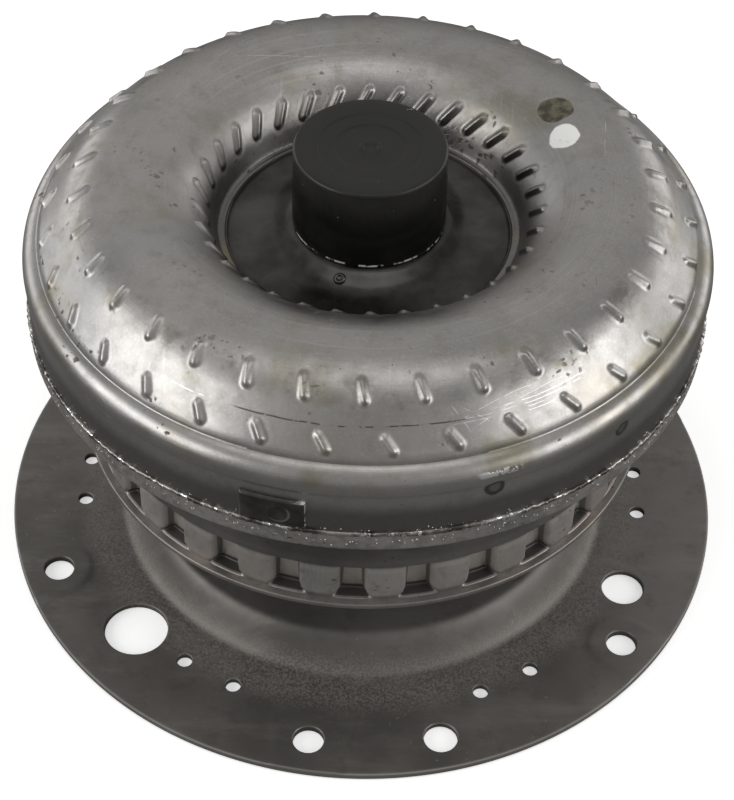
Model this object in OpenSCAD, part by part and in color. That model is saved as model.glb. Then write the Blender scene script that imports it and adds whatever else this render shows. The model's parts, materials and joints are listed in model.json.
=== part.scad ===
/* [Drive plate] */
// Radius of the drive plate
plate_r = 160; // [156:1:164]
// Thickness of the drive plate
plate_t = 3; // [2:0.5:3]
// Height of the raised centre over the rim's underside
plate_rise = 15; // [14:0.5:15]
// Pitch circle of the six flywheel bolt holes
flywheel_pcd = 289; // [286:1:292]
// Radius of a flywheel bolt hole
flywheel_hole_r = 6.5; // [5.5:0.5:7]
// Pitch circle of the small paired holes
pair_pcd = 254.6; // [252:0.2:256]
// Radius of a small paired hole
pair_hole_r = 3.3; // [2.5:0.1:3.5]
// Radius of the centring pilot
pilot_r = 20; // [19:0.5:20]

/* [Housing] */
// Radius of the impeller skirt
skirt_r = 140.5; // [140:0.5:141]
// Wall of the pressed housing
wall = 3; // [2.5:0.5:3]
// Radius of the flange under the clutch drum
flange_r = 122; // [120:0.5:124]
// Number of castellations round the clutch drum
lobes = 28; // [28]
// Outside radius of the castellations
lobe_r = 119; // [118.5:0.5:119]
// Outside radius between the castellations
valley_r = 113.5; // [113:0.5:113.5]
// Height of the housing weld
weld_z = 131; // [131]

/* [Torus] */
// Radius of the middle of the torus
torus_r = 97; // [97]
// Height of the middle of the impeller torus
impeller_z = 153; // [153]
// Height of the middle of the turbine torus
turbine_z = 151; // [151]
// Outside radius of the torus section
section_r = 36; // [36]
// Radius of the core ring's section
core_r = 13; // [11:0.5:14]
// Number of impeller blades
impeller_blade_count = 34; // [24:1:34]
// Number of turbine blades
turbine_blade_count = 31; // [23:1:31]
// Number of stator vanes
vane_count = 17; // [13:2:19]

/* [Hub and cap] */
// Outside radius of the pump drive tube
tube_r = 28; // [27.5:0.5:28]
// Bore radius of the pump drive tube
tube_bore_r = 21.5; // [21:0.5:22]
// Height of the end of the pump drive tube
tube_top = 199; // [195:1:199]
// Outside radius of the protective cap at its mouth
cap_r = 31.3; // [31:0.1:32]
// Height of the top of the protective cap
cap_top = 202.8; // [202.8:0.2:204]

/* [Lock-up clutch and damper] */
// Number of teeth on the clutch hub
hub_teeth = 36; // [30:2:40]
// Free gap at each face of the clutch pack
pack_gap = 0.25; // [0.2:0.05:0.25]
// Number of damper springs
spring_count = 6; // [6]
// Outside radius of a damper spring
spring_r = 6.5; // [6:0.1:6.6]
// Wire radius of a damper spring
wire_r = 1.4; // [1.2:0.1:1.5]
// Coils in a damper spring
spring_coils = 6; // [5:1:7]

/* [One-way clutch and bearings] */
// Number of locking rollers
roller_count = 10; // [8:1:10]
// Radius of a locking roller
roller_r = 3; // [2.6:0.1:3]
// Number of needles in a large thrust bearing
needle_count = 28; // [20:1:28]

/* [Hidden] */
$fn = 96;

// Drive plate
plate_step_out = 111.3;
plate_step_in = 96;
plate_centre_hole_r = 20.5;
flywheel_hole_count = 6;
flywheel_hole_phase = 22.2;
pair_half_angle = 5.6;
locating_hole = [222.1, 130, 13.7];
spare_hole = [284.2, 144.5, 7.1];
access_hole = [334, 130.1, 9.2];
lug_pitch_r = 58;
lug_r = 11;
lug_bore_r = 5;
lug_count = 6;
nose_z = 26;
bolt_shank_r = 4.9;
bolt_head_r = 8.6;
bolt_head_h = 6.4;

// Housing heights and radii
cover_flange_z = 63.5;
cover_top = 66.4;
cylinder_in = 79;
cylinder_out = 83;
lobe_top = 86.5;
lobe_phase = 275;
shelf_z = 84;
collar_in = lobe_r - wall + 0.4;
collar_out = lobe_r + 0.3;
cove_z = 88;
rim_z = 121;
rim_r = 141;
groove_z = 87.5;
snap_ring_h = 2;
groove_top = groove_z + snap_ring_h + 0.3;
cone_angle = 42;
floor_z = 161;
floor_r = 58;
bead_r = 141.2;

// Clutch pack: every second layer is a friction disc
pack_z = 72;
layer_t = 2;
lining_t = 0.5;
friction_out = 109.5;
lining_in = 91;
lining_out = 109;
steel_in = 90;
steel_out = 110;
tab_out = 115.5;
backing_t = 4;
hub_wall_in = 81.5;
hub_wall_out = 84.5;
hub_tooth_out = 87;
function layer_z(n) = pack_z + pack_gap + (n - 1) * (layer_t + pack_gap);
backing_z = layer_z(6);

// Damper
hub_web_z = 88.5;
web_t = 3;
damper_plate_t = 2;
lower_plate_z = hub_web_z + web_t;
upper_plate_z = 109;
damper_in = 50;
damper_out = 103;
spring_pitch_r = 80;
spring_half = 23;
spring_z = 101.25;
flange_z = 100;
flange_t = 2.5;
flange_out = 92;
spacer_pitch_r = 97;

// Turbine hub
foot_z = 91.2;
shaft_bore_r = 15;
turbine_body_r = 24;
turbine_flange_z = 134;
turbine_flange_r = 56;
collar_r = 43.5;
collar_z = 141;
turbine_section_r = 33;
turbine_wall = 2;
turbine_rivet_r = 50;

// One-way clutch and thrust bearings
race_z = 145;
race_top = 153.5;
inner_race_r = 30;
stator_spline_r = 20;
roller_pitch_r = 33.2;
outer_race_r = 44;
bearing_in = 32;
bearing_out = 43;
needle_r = 1;
needle_l = 8;

module wedge(a0, a1, r) {
    polygon([[0, 0], [r * cos(a0), r * sin(a0)], [r * cos(a1), r * sin(a1)]]);
}

module ring(r_in, r_out, z0, z1) {
    translate([0, 0, z0]) difference() {
        cylinder(r = r_out, h = z1 - z0);
        translate([0, 0, -1]) cylinder(r = r_in, h = z1 - z0 + 2);
    }
}

// Points along a round stretch of an outline
function arc(cx, cy, r, a0, a1, n) =
    [for (i = [0:n]) let (a = a0 + (a1 - a0) * i / n) [cx + r * cos(a), cy + r * sin(a)]];

function flip(points) = [for (i = [len(points) - 1:-1:0]) points[i]];

// A toothed ring outline: teeth reach r_tip, the gaps lie at r_root
function toothed(n, r_root, r_tip, fill, phase) =
    [for (k = [0:n - 1], s = [0:4])
        let (pitch = 360 / n)
        let (half = pitch * fill / 2)
        let (a = phase + k * pitch + [-half * 1.08, -half, 0, half, half * 1.08][s])
        let (r = (s == 0 || s == 4) ? r_root : r_tip)
        [r * cos(a), r * sin(a)]];

// Drive plate: a flat rim, then a soft step up to the raised centre
function plate_line(offset) =
    [for (i = [0:10]) let (t = i / 10)
        [plate_step_out - (plate_step_out - plate_step_in) * t,
         offset + plate_rise * (1 - cos(180 * t)) / 2]];

module flexplate() {
    color([0.36, 0.35, 0.33]) difference() {
        rotate_extrude() polygon(concat(
            [[plate_centre_hole_r, plate_rise + plate_t], [plate_centre_hole_r, plate_rise]],
            flip(plate_line(0)),
            [[plate_r, 0], [plate_r, plate_t]],
            plate_line(plate_t)));
        for (k = [0:flywheel_hole_count - 1]) {
            plate_hole(flywheel_hole_phase + 60 * k, flywheel_pcd / 2, flywheel_hole_r);
            plate_hole(60 * k - pair_half_angle, pair_pcd / 2, pair_hole_r);
            plate_hole(60 * k + pair_half_angle, pair_pcd / 2, pair_hole_r);
            plate_hole(60 * k, lug_pitch_r, lug_bore_r + 0.25);
        }
        plate_hole(locating_hole[0], locating_hole[1], locating_hole[2]);
        plate_hole(spare_hole[0], spare_hole[1], spare_hole[2]);
        plate_hole(access_hole[0], access_hole[1], access_hole[2]);
    }
}

module plate_hole(angle, pitch_r, r) {
    rotate([0, 0, angle]) translate([pitch_r, 0, -1]) cylinder(r = r, h = plate_rise + plate_t + 2);
}

module flexplate_bolts() {
    color([0.25, 0.25, 0.26]) for (k = [0:lug_count - 1]) {
        rotate([0, 0, 60 * k]) translate([lug_pitch_r, 0, plate_rise - bolt_head_h]) {
            cylinder(r = bolt_head_r, h = bolt_head_h, $fn = 6);
            cylinder(r = bolt_shank_r, h = bolt_head_h + 9.5);
        }
    }
}

module drive_lugs() {
    color([0.45, 0.44, 0.42]) for (k = [0:lug_count - 1]) {
        rotate([0, 0, 60 * k]) translate([lug_pitch_r, 0, 0])
            ring(lug_bore_r, lug_r, plate_rise + plate_t, nose_z);
    }
}

module pilot_boss() {
    neck_r = pilot_r - 2;
    color([0.55, 0.55, 0.54]) rotate_extrude() polygon([
        [0, 1], [pilot_r - 1.5, 1], [pilot_r, 2.5], [pilot_r, 14],
        [neck_r, 14], [neck_r, nose_z], [0, nose_z]]);
}

// Front cover: a flat ring, the clutch cylinder and the nose plate, in one pressing
module front_cover() {
    color([0.48, 0.47, 0.45]) rotate_extrude() polygon([
        [0, nose_z], [cylinder_out - 3, nose_z], [cylinder_out, nose_z + 3],
        [cylinder_out, cover_flange_z], [flange_r, cover_flange_z], [flange_r, cover_top],
        [cylinder_in, cover_top], [cylinder_in, nose_z + wall], [0, nose_z + wall]]);
}

// Clutch drum: castellated wall, shelf over the castellations, cove and rim
module clutch_drum() {
    lobe_fill = 0.61;
    color([0.5, 0.49, 0.47]) difference() {
        union() {
            translate([0, 0, cover_top]) linear_extrude(shelf_z + 1 - cover_top)
                polygon(toothed(lobes, valley_r, lobe_r, lobe_fill, lobe_phase));
            rotate_extrude() polygon(concat(
                [[valley_r - 10, shelf_z], [collar_out, shelf_z]],
                cove(collar_out, cove_z, rim_z, 90),
                [[rim_r, weld_z], [rim_r - wall, weld_z]],
                flip(cove(collar_in, groove_top, rim_z + wall, 83)),
                [[collar_in + 1.2, groove_top],
                 [collar_in + 1.2, groove_z], [collar_in, groove_z],
                 [collar_in, lobe_top], [valley_r - 10, lobe_top]]));
        }
        translate([0, 0, cover_top - 1]) linear_extrude(lobe_top - cover_top + 1.7)
            polygon(toothed(lobes, valley_r - wall, lobe_r - wall, lobe_fill * 0.8, lobe_phase));
    }
}

// A quarter of an ellipse from the collar out to the rim
function cove(start_r, start_z, end_z, stop) =
    [for (i = [0:9]) let (t = stop * i / 9)
        [rim_r - (rim_r - start_r) * cos(t), start_z + (end_z - start_z) * sin(t)]];

module weld_seam() {
    color([0.42, 0.4, 0.38]) rotate_extrude() polygon([
        [rim_r - wall, weld_z], [rim_r, weld_z], [rim_r, weld_z - 0.7],
        [rim_r + 0.6, weld_z - 0.3], [rim_r + 0.7, weld_z + 0.5],
        [rim_r + 0.3, weld_z + 1.3], [skirt_r, weld_z + 1.6],
        [skirt_r, weld_z + 0.6], [rim_r - wall, weld_z + 0.6]]);
}

// Impeller shell: skirt, shoulder bead, cone, torus arc and the inner floor
inner_stop = 180 - asin((floor_z - impeller_z) / section_r);
cone_end = 137;
cone_z = impeller_z + section_r * sin(cone_angle)
    - (cone_end - torus_r - section_r * cos(cone_angle)) / tan(cone_angle);

module impeller_shell() {
    inner_r = section_r - wall;
    under_z = floor_z - wall;
    inner_end = 180 - asin((under_z - impeller_z) / inner_r);
    color([0.55, 0.53, 0.5]) rotate_extrude() polygon(concat(
        [[skirt_r, weld_z + 0.6], [skirt_r, 153.5]],
        arc(bead_r - 3.2, 157.6, 3.2, -20, 80, 5),
        [[cone_end, cone_z]],
        arc(torus_r, impeller_z, section_r, cone_angle, inner_stop, 20),
        [[floor_r + 0.6, floor_z], [floor_r + 0.6, under_z]],
        flip(arc(torus_r, impeller_z, inner_r, cone_angle, inner_end, 18)),
        [[cone_end - 3, cone_z - 1.6], [skirt_r - wall, 157], [skirt_r - wall, weld_z + 0.6]]));
}

// A flat torus blade: the section between the shell and the core ring
module torus_blades(count, r_out, mid_z, a0, a1, t) {
    for (k = [0:count - 1]) rotate([0, 0, 360 * k / count]) rotate([90, 0, 0])
        translate([0, 0, -t / 2]) linear_extrude(t) polygon(concat(
            arc(torus_r, mid_z, r_out, a0, a1, 16),
            flip(arc(torus_r, mid_z, core_r, a0, a1, 8))));
}

module impeller_blades() {
    color([0.6, 0.6, 0.6])
        torus_blades(impeller_blade_count, section_r - wall + 0.2, impeller_z, 6, 140, 1.2);
}

module turbine_blades() {
    color([0.6, 0.6, 0.6])
        torus_blades(turbine_blade_count, turbine_section_r - turbine_wall + 0.2, turbine_z,
            -140, -6, 1.2);
}

module core_ring(mid_z, a0, a1) {
    rotate_extrude() polygon(concat(
        arc(torus_r, mid_z, core_r - 0.1, a0, a1, 12),
        flip(arc(torus_r, mid_z, core_r - 1.3, a0, a1, 12))));
}

module impeller_core_ring() {
    color([0.58, 0.58, 0.57]) core_ring(impeller_z, 6, 150);
}

module turbine_core_ring() {
    color([0.58, 0.58, 0.57]) core_ring(turbine_z, -150, -6);
}

// Impeller hub: a flange welded into the shell, a fillet and the pump drive tube
module impeller_hub() {
    slot_w = 10;
    slot_d = 9;
    color([0.35, 0.34, 0.33]) difference() {
        rotate_extrude() polygon([
            [tube_bore_r, 157.5], [floor_r, 157.5], [floor_r, floor_z], [45, floor_z],
            [41.5, 161.6], [38.5, 162.7], [35.8, 164.2], [33.6, 165.4], [31.5, 166],
            [tube_r, 166], [tube_r, tube_top - 1], [tube_r - 1, tube_top],
            [tube_bore_r, tube_top]]);
        translate([-tube_r - 1, -slot_w / 2, tube_top - slot_d])
            cube([2 * tube_r + 2, slot_w, slot_d + 1]);
    }
}

module hub_weld() {
    color([0.4, 0.38, 0.36]) ring(floor_r, floor_r + 0.6, floor_z - 2.6, floor_z - 0.5);
}

module balance_weight() {
    weight_w = 27;
    weight_z = 133.6;
    weight_h = 15.3;
    color([0.3, 0.29, 0.28]) intersection() {
        ring(skirt_r, skirt_r + 1.9, weight_z, weight_z + weight_h);
        rotate([0, 0, 256.5]) translate([100, -weight_w / 2, weight_z - 1])
            cube([60, weight_w, weight_h + 2]);
    }
}

module piston_hub() {
    color([0.6, 0.6, 0.6]) difference() {
        ring(18, inner_race_r, nose_z + wall, 88);
        for (k = [0:3]) rotate([0, 0, 45 + 90 * k])
            translate([24, 0, 56]) rotate([0, 90, 0]) cylinder(r = 2.5, h = 20, center = true);
    }
}

module toothed_plate(z0, t) {
    translate([0, 0, z0]) linear_extrude(t) difference() {
        polygon(toothed(lobes, steel_out, tab_out, 0.36, lobe_phase));
        circle(r = steel_in);
    }
}

module backing_plate() {
    color([0.5, 0.5, 0.5]) toothed_plate(backing_z, backing_t);
}

module snap_ring() {
    gap_deg = 5;
    color([0.3, 0.3, 0.32]) translate([0, 0, groove_z + 0.1]) linear_extrude(snap_ring_h)
        difference() {
            circle(r = collar_in + 1);
            circle(r = steel_out + 2);
            wedge(90 - gap_deg, 90 + gap_deg, 2 * lobe_r);
        }
}

// Protective cap: a moulded cup pushed over the pump drive tube
module protective_cap() {
    cap_z = 166.4;
    cap_bore = tube_r + 0.7;
    roof_z = tube_top + 0.5;
    color([0.1, 0.1, 0.1]) rotate_extrude() polygon([
        [cap_bore, cap_z], [cap_r, cap_z], [cap_r - 0.5, cap_top - 1.3],
        [cap_r - 0.9, cap_top - 0.4], [cap_r - 1.8, cap_top],
        [0.66 * cap_r, cap_top], [0.65 * cap_r, cap_top - 0.4],
        [0.45 * cap_r, cap_top - 0.4], [0.44 * cap_r, cap_top - 0.8],
        [0.12 * cap_r, cap_top - 0.8], [0.11 * cap_r, cap_top - 0.3], [0, cap_top - 0.3],
        [0, roof_z], [cap_bore, roof_z]]);
}

// Lock-up piston: disc, seal wall and the pressing ring
module lockup_piston() {
    color([0.6, 0.59, 0.57]) rotate_extrude() polygon([
        [inner_race_r + 0.3, 44], [cylinder_in - 0.5, 44], [cylinder_in - 0.5, 45],
        [cylinder_in - 2.5, 45], [cylinder_in - 2.5, 47], [cylinder_in - 0.5, 47],
        [cylinder_in - 0.5, 67], [steel_out - 0.5, 67], [steel_out - 0.5, pack_z],
        [lining_in, pack_z], [lining_in, 70], [74.5, 70], [74.5, 48],
        [inner_race_r + 0.3, 48], [inner_race_r + 0.3, 47],
        [inner_race_r + 2, 47], [inner_race_r + 2, 45], [inner_race_r + 0.3, 45]]);
}

module piston_outer_seal() {
    color([0.12, 0.12, 0.12]) ring(cylinder_in - 2.4, cylinder_in - 0.05, 45.1, 46.9);
}

module piston_inner_seal() {
    color([0.12, 0.12, 0.12]) ring(inner_race_r + 0.05, inner_race_r + 1.9, 45.1, 46.9);
}

// Friction disc core: its inner teeth ride on the clutch hub's teeth
module friction_core(n) {
    color([0.55, 0.55, 0.55]) translate([0, 0, layer_z(n) + lining_t])
        linear_extrude(layer_t - 2 * lining_t) difference() {
            circle(r = friction_out);
            polygon(toothed(hub_teeth, hub_wall_out + 0.4, hub_tooth_out + 0.4, 0.62, 0));
        }
}

module friction_faces(n) {
    color([0.45, 0.36, 0.24]) {
        ring(lining_in, lining_out, layer_z(n), layer_z(n) + lining_t);
        ring(lining_in, lining_out, layer_z(n) + layer_t - lining_t, layer_z(n) + layer_t);
    }
}

module friction_disc_1() { friction_core(1); }
module friction_disc_2() { friction_core(3); }
module friction_disc_3() { friction_core(5); }
module friction_linings_1() { friction_faces(1); }
module friction_linings_2() { friction_faces(3); }
module friction_linings_3() { friction_faces(5); }

module steel_plate_1() {
    color([0.62, 0.62, 0.62]) toothed_plate(layer_z(2), layer_t);
}

module steel_plate_2() {
    color([0.62, 0.62, 0.62]) toothed_plate(layer_z(4), layer_t);
}

module clutch_hub() {
    hub_bottom = pack_z - 0.2;
    color([0.58, 0.57, 0.55]) {
        difference() {
            translate([0, 0, hub_bottom]) linear_extrude(hub_web_z - hub_bottom + 1)
                polygon(toothed(hub_teeth, hub_wall_out, hub_tooth_out, 0.5, 0));
            translate([0, 0, hub_bottom - 1]) cylinder(r = hub_wall_in, h = 30);
        }
        difference() {
            ring(damper_in, hub_wall_out, hub_web_z, hub_web_z + web_t);
            rivet_holes(66, 30);
        }
    }
}

module rivet_holes(pitch_r, phase) {
    for (k = [0:5]) rotate([0, 0, phase + 60 * k])
        translate([pitch_r, 0, hub_web_z - 5]) cylinder(r = 2.5, h = 40);
}

module spring_windows(len, width, z0) {
    for (k = [0:spring_count - 1]) rotate([0, 0, 360 / spring_count * k])
        translate([spring_pitch_r - width / 2, -len / 2, z0]) cube([width, len, 12]);
}

module damper_plate(z0) {
    difference() {
        ring(damper_in, damper_out, z0, z0 + damper_plate_t);
        spring_windows(2 * spring_half + 0.4, 9, z0 - 5);
        rivet_holes(spacer_pitch_r, 30);
        rivet_holes(66, 30);
    }
}

module damper_plate_lower() {
    color([0.5, 0.5, 0.48]) damper_plate(lower_plate_z);
}

module damper_plate_upper() {
    color([0.5, 0.5, 0.48]) damper_plate(upper_plate_z);
}

// Six long spacer rivets between the plates and six short ones through the hub web
module damper_rivets() {
    top_z = upper_plate_z + damper_plate_t;
    color([0.66, 0.64, 0.6]) for (k = [0:5]) rotate([0, 0, 30 + 60 * k]) {
        translate([spacer_pitch_r, 0, 0]) rotate_extrude($fn = 32) polygon([
            [0, lower_plate_z - 1.4], [4.4, lower_plate_z - 1.4], [4.4, lower_plate_z],
            [2.4, lower_plate_z], [2.4, lower_plate_z + damper_plate_t],
            [4, lower_plate_z + damper_plate_t], [4, upper_plate_z], [2.4, upper_plate_z],
            [2.4, top_z], [4.4, top_z], [4.4, top_z + 1.4], [0, top_z + 1.4]]);
        translate([66, 0, 0]) rotate_extrude($fn = 32) polygon([
            [0, hub_web_z - 1.4], [4.2, hub_web_z - 1.4], [4.2, hub_web_z], [2.4, hub_web_z],
            [2.4, lower_plate_z + damper_plate_t], [4.2, lower_plate_z + damper_plate_t],
            [4.2, lower_plate_z + damper_plate_t + 1.4],
            [0, lower_plate_z + damper_plate_t + 1.4]]);
    }
}

// A coil spring along Y, swept ring by ring
module coil_spring() {
    sides = 6;
    steps = spring_coils * 8;
    mean_r = spring_r - wire_r;
    free = 2 * spring_half - 2 * wire_r - 0.4;
    points = [for (i = [0:steps], j = [0:sides - 1])
        let (a = 360 * spring_coils * i / steps)
        let (b = 360 * j / sides)
        let (r = mean_r + wire_r * cos(b))
        [r * cos(a), -free / 2 + free * i / steps + wire_r * sin(b), r * sin(a)]];
    walls = [for (i = [0:steps - 1], j = [0:sides - 1], half = [0, 1])
        let (n = (j + 1) % sides)
        half == 0 ? [i * sides + j, (i + 1) * sides + j, (i + 1) * sides + n]
            : [i * sides + j, (i + 1) * sides + n, i * sides + n]];
    start = [for (j = [0:sides - 1]) j];
    end = [for (j = [sides - 1:-1:0]) steps * sides + j];
    polyhedron(points, concat(walls, [start, end]));
}

module damper_springs() {
    color([0.5, 0.5, 0.52]) for (k = [0:spring_count - 1])
        rotate([0, 0, 360 / spring_count * k]) translate([spring_pitch_r, 0, spring_z])
            coil_spring();
}

module damper_flange() {
    color([0.52, 0.52, 0.5]) difference() {
        ring(turbine_body_r + 0.05, flange_out, flange_z, flange_z + flange_t);
        spring_windows(2 * spring_half + 0.6, 2 * spring_r + 1.2, flange_z - 5);
    }
}

module turbine_hub() {
    color([0.62, 0.62, 0.62]) difference() {
        rotate_extrude() polygon([
            [0, foot_z], [30, foot_z], [30, foot_z + 4], [turbine_body_r, foot_z + 5],
            [turbine_body_r, turbine_flange_z - 3], [turbine_body_r + 3, turbine_flange_z],
            [turbine_flange_r, turbine_flange_z], [turbine_flange_r, turbine_flange_z + 4],
            [collar_r, turbine_flange_z + 4], [collar_r, collar_z], [0, collar_z]]);
        translate([0, 0, foot_z - 1]) linear_extrude(collar_z - foot_z + 2)
            polygon(toothed(24, shaft_bore_r - 1, shaft_bore_r, 0.5, 0));
        for (k = [0:11]) rotate([0, 0, 30 * k])
            translate([turbine_rivet_r, 0, turbine_flange_z - 1]) cylinder(r = 2.5, h = 8);
    }
}

// Turbine shell: half a torus with a flange that rivets to the hub
module turbine_shell() {
    outer = turbine_section_r;
    inner = turbine_section_r - turbine_wall;
    flange_low = turbine_flange_z + 4;
    flange_top = flange_low + 2.5;
    low_end = -180 + asin((turbine_z - flange_low) / outer);
    top_end = -180 + asin((turbine_z - flange_top) / inner);
    color([0.6, 0.59, 0.57]) difference() {
        rotate_extrude() polygon(concat(
            arc(torus_r, turbine_z, outer, -1, low_end, 18),
            [[collar_r + 0.05, flange_low], [collar_r + 0.05, flange_top]],
            flip(arc(torus_r, turbine_z, inner, -1, top_end, 18))));
        for (k = [0:11]) rotate([0, 0, 30 * k])
            translate([turbine_rivet_r, 0, flange_low - 1]) cylinder(r = 2.5, h = 5);
    }
}

module turbine_rivets() {
    low = turbine_flange_z;
    top = turbine_flange_z + 6.5;
    color([0.66, 0.64, 0.6]) for (k = [0:11]) rotate([0, 0, 30 * k])
        translate([turbine_rivet_r, 0, 0]) rotate_extrude($fn = 32) polygon([
            [0, low - 1.2], [4, low - 1.2], [4, low], [2.4, low], [2.4, top],
            [4, top], [4, top + 1.1], [0, top + 1.1]]);
}

// One-way clutch
module one_way_inner_race() {
    color([0.65, 0.65, 0.66]) difference() {
        translate([0, 0, race_z - 0.2]) cylinder(r = inner_race_r, h = race_top - race_z + 0.5);
        translate([0, 0, race_z - 2]) linear_extrude(14)
            polygon(toothed(24, stator_spline_r - 1, stator_spline_r, 0.5, 0));
    }
}

module one_way_outer_race() {
    pocket_in = 34.5;
    wide_r = 37.3;
    narrow_r = 36.5;
    color([0.6, 0.6, 0.62]) translate([0, 0, race_z]) linear_extrude(race_top - race_z)
        difference() {
            circle(r = outer_race_r);
            circle(r = pocket_in);
            for (k = [0:roller_count - 1]) rotate([0, 0, 360 / roller_count * k])
                polygon([for (p = [[-16, 32], [-16, wide_r], [-4, wide_r], [8, narrow_r], [8, 32]])
                    [p[1] * cos(p[0]), p[1] * sin(p[0])]]);
        }
}

module one_way_rollers() {
    color([0.7, 0.7, 0.72]) for (k = [0:roller_count - 1])
        rotate([0, 0, 360 / roller_count * k - 4])
            translate([roller_pitch_r, 0, race_z + 0.4])
                cylinder(r = roller_r, h = race_top - race_z - 0.8);
}

// Folded leaf springs that push each roller towards the narrow end of its pocket
module one_way_springs() {
    leaf = 0.4;
    color([0.5, 0.5, 0.52]) for (k = [0:roller_count - 1])
        rotate([0, 0, 360 / roller_count * k - 12.6])
            translate([roller_pitch_r, 0, race_z + 2]) linear_extrude(5) polygon([
                [2.6, -1.4], [2.6, -1.4 + leaf], [-1.4, 0.1], [2.4, 1], [2.4, 1 + leaf],
                [-2.2, 0.2], [-2.2, -0.2]]);
}

module one_way_washers() {
    color([0.66, 0.6, 0.42]) {
        ring(inner_race_r + 0.4, outer_race_r - 0.2, race_z - 0.6, race_z);
        ring(inner_race_r + 0.4, outer_race_r - 0.2, race_top, race_top + 0.6);
    }
}

// Stator wheel: hub ring, curved vanes and outer ring
module stator_wheel() {
    wheel_z = 143;
    wheel_h = 13;
    hub_out = 54;
    ring_in = 78;
    color([0.72, 0.72, 0.72]) {
        ring(outer_race_r + 0.05, hub_out, wheel_z, wheel_z + wheel_h);
        ring(ring_in, ring_in + 3, wheel_z, wheel_z + wheel_h);
        for (k = [0:vane_count - 1]) rotate([0, 0, 360 / vane_count * k])
            translate([hub_out - 0.5, 0, wheel_z]) rotate([90, 0, 90])
                linear_extrude(ring_in - hub_out + 1) polygon([
                    [-5.5, 1], [-4.5, 0.5], [-2.6, 1.2], [1, 4], [4.5, 8.2], [6, 12.2],
                    [5.6, 12.5], [3.4, 9.6], [0, 6.6], [-3.4, 4.2], [-5.4, 2.4]]);
    }
}

// Needle thrust bearings
module thrust_cage(count, r_in, r_out, z0) {
    difference() {
        ring(r_in, r_out, z0, z0 + 1.2);
        for (k = [0:count - 1]) rotate([0, 0, 360 / count * k])
            translate([(r_in + r_out) / 2 - needle_l / 2 - 0.2, -needle_r - 0.15, z0 - 1])
                cube([needle_l + 0.4, 2 * needle_r + 0.3, 4]);
    }
}

module needles(count, mid_r, z) {
    for (k = [0:count - 1]) rotate([0, 0, 360 / count * k])
        translate([mid_r - needle_l / 2, 0, z]) rotate([0, 90, 0])
            cylinder(r = needle_r, h = needle_l, $fn = 24);
}

bearing_mid = (bearing_in + bearing_out) / 2;
bearing_c_in = 18.6;
bearing_c_out = 29.4;
bearing_c_mid = (bearing_c_in + bearing_c_out) / 2;
bearing_c_count = 18;

module bearing_a_race() {
    color([0.64, 0.64, 0.65]) ring(bearing_in, bearing_out, 154.2, 155);
}
module bearing_a_cage() {
    color([0.66, 0.6, 0.42]) thrust_cage(needle_count, bearing_in, bearing_out, 155.5);
}
module bearing_a_needles() {
    color([0.7, 0.7, 0.72]) needles(needle_count, bearing_mid, 156.1);
}
module bearing_b_race() {
    color([0.64, 0.64, 0.65]) ring(bearing_in, bearing_out, collar_z, collar_z + 0.8);
}
module bearing_b_cage() {
    color([0.66, 0.6, 0.42]) thrust_cage(needle_count, bearing_in, bearing_out, 142.4);
}
module bearing_b_needles() {
    color([0.7, 0.7, 0.72]) needles(needle_count, bearing_mid, 143);
}
module bearing_c_race() {
    color([0.64, 0.64, 0.65]) ring(bearing_c_in, bearing_c_out, 88, 88.8);
}
module bearing_c_cage() {
    color([0.66, 0.6, 0.42]) thrust_cage(bearing_c_count, bearing_c_in, bearing_c_out, 89.4);
}
module bearing_c_needles() {
    color([0.7, 0.7, 0.72]) needles(bearing_c_count, bearing_c_mid, 89.95);
}

flexplate();
flexplate_bolts();
drive_lugs();
pilot_boss();
front_cover();
clutch_drum();
weld_seam();
impeller_shell();
impeller_blades();
impeller_core_ring();
impeller_hub();
hub_weld();
balance_weight();
piston_hub();
backing_plate();
snap_ring();
bearing_c_race();
protective_cap();
lockup_piston();
piston_outer_seal();
piston_inner_seal();
friction_disc_1();
friction_disc_2();
friction_disc_3();
friction_linings_1();
friction_linings_2();
friction_linings_3();
steel_plate_1();
steel_plate_2();
clutch_hub();
damper_plate_lower();
damper_plate_upper();
damper_rivets();
damper_springs();
damper_flange();
turbine_hub();
turbine_shell();
turbine_blades();
turbine_core_ring();
turbine_rivets();
bearing_b_race();
one_way_inner_race();
one_way_outer_race();
one_way_rollers();
one_way_springs();
one_way_washers();
stator_wheel();
bearing_a_race();
bearing_a_cage();
bearing_a_needles();
bearing_b_cage();
bearing_b_needles();
bearing_c_cage();
bearing_c_needles();
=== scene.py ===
"""Looks for the torque converter: pressed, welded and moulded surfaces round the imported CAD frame.

Outlines are in millimetres and degrees, and mesh() turns them into metres. Angles run anticlockwise
from +X seen from above, so the front of the object, towards the camera, is at 270 degrees.
"""
import json
from math import asin, cos, degrees, exp, hypot, pi, radians, sin, tan

import bpy
import numpy as np
from mathutils import Matrix, Vector


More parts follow.
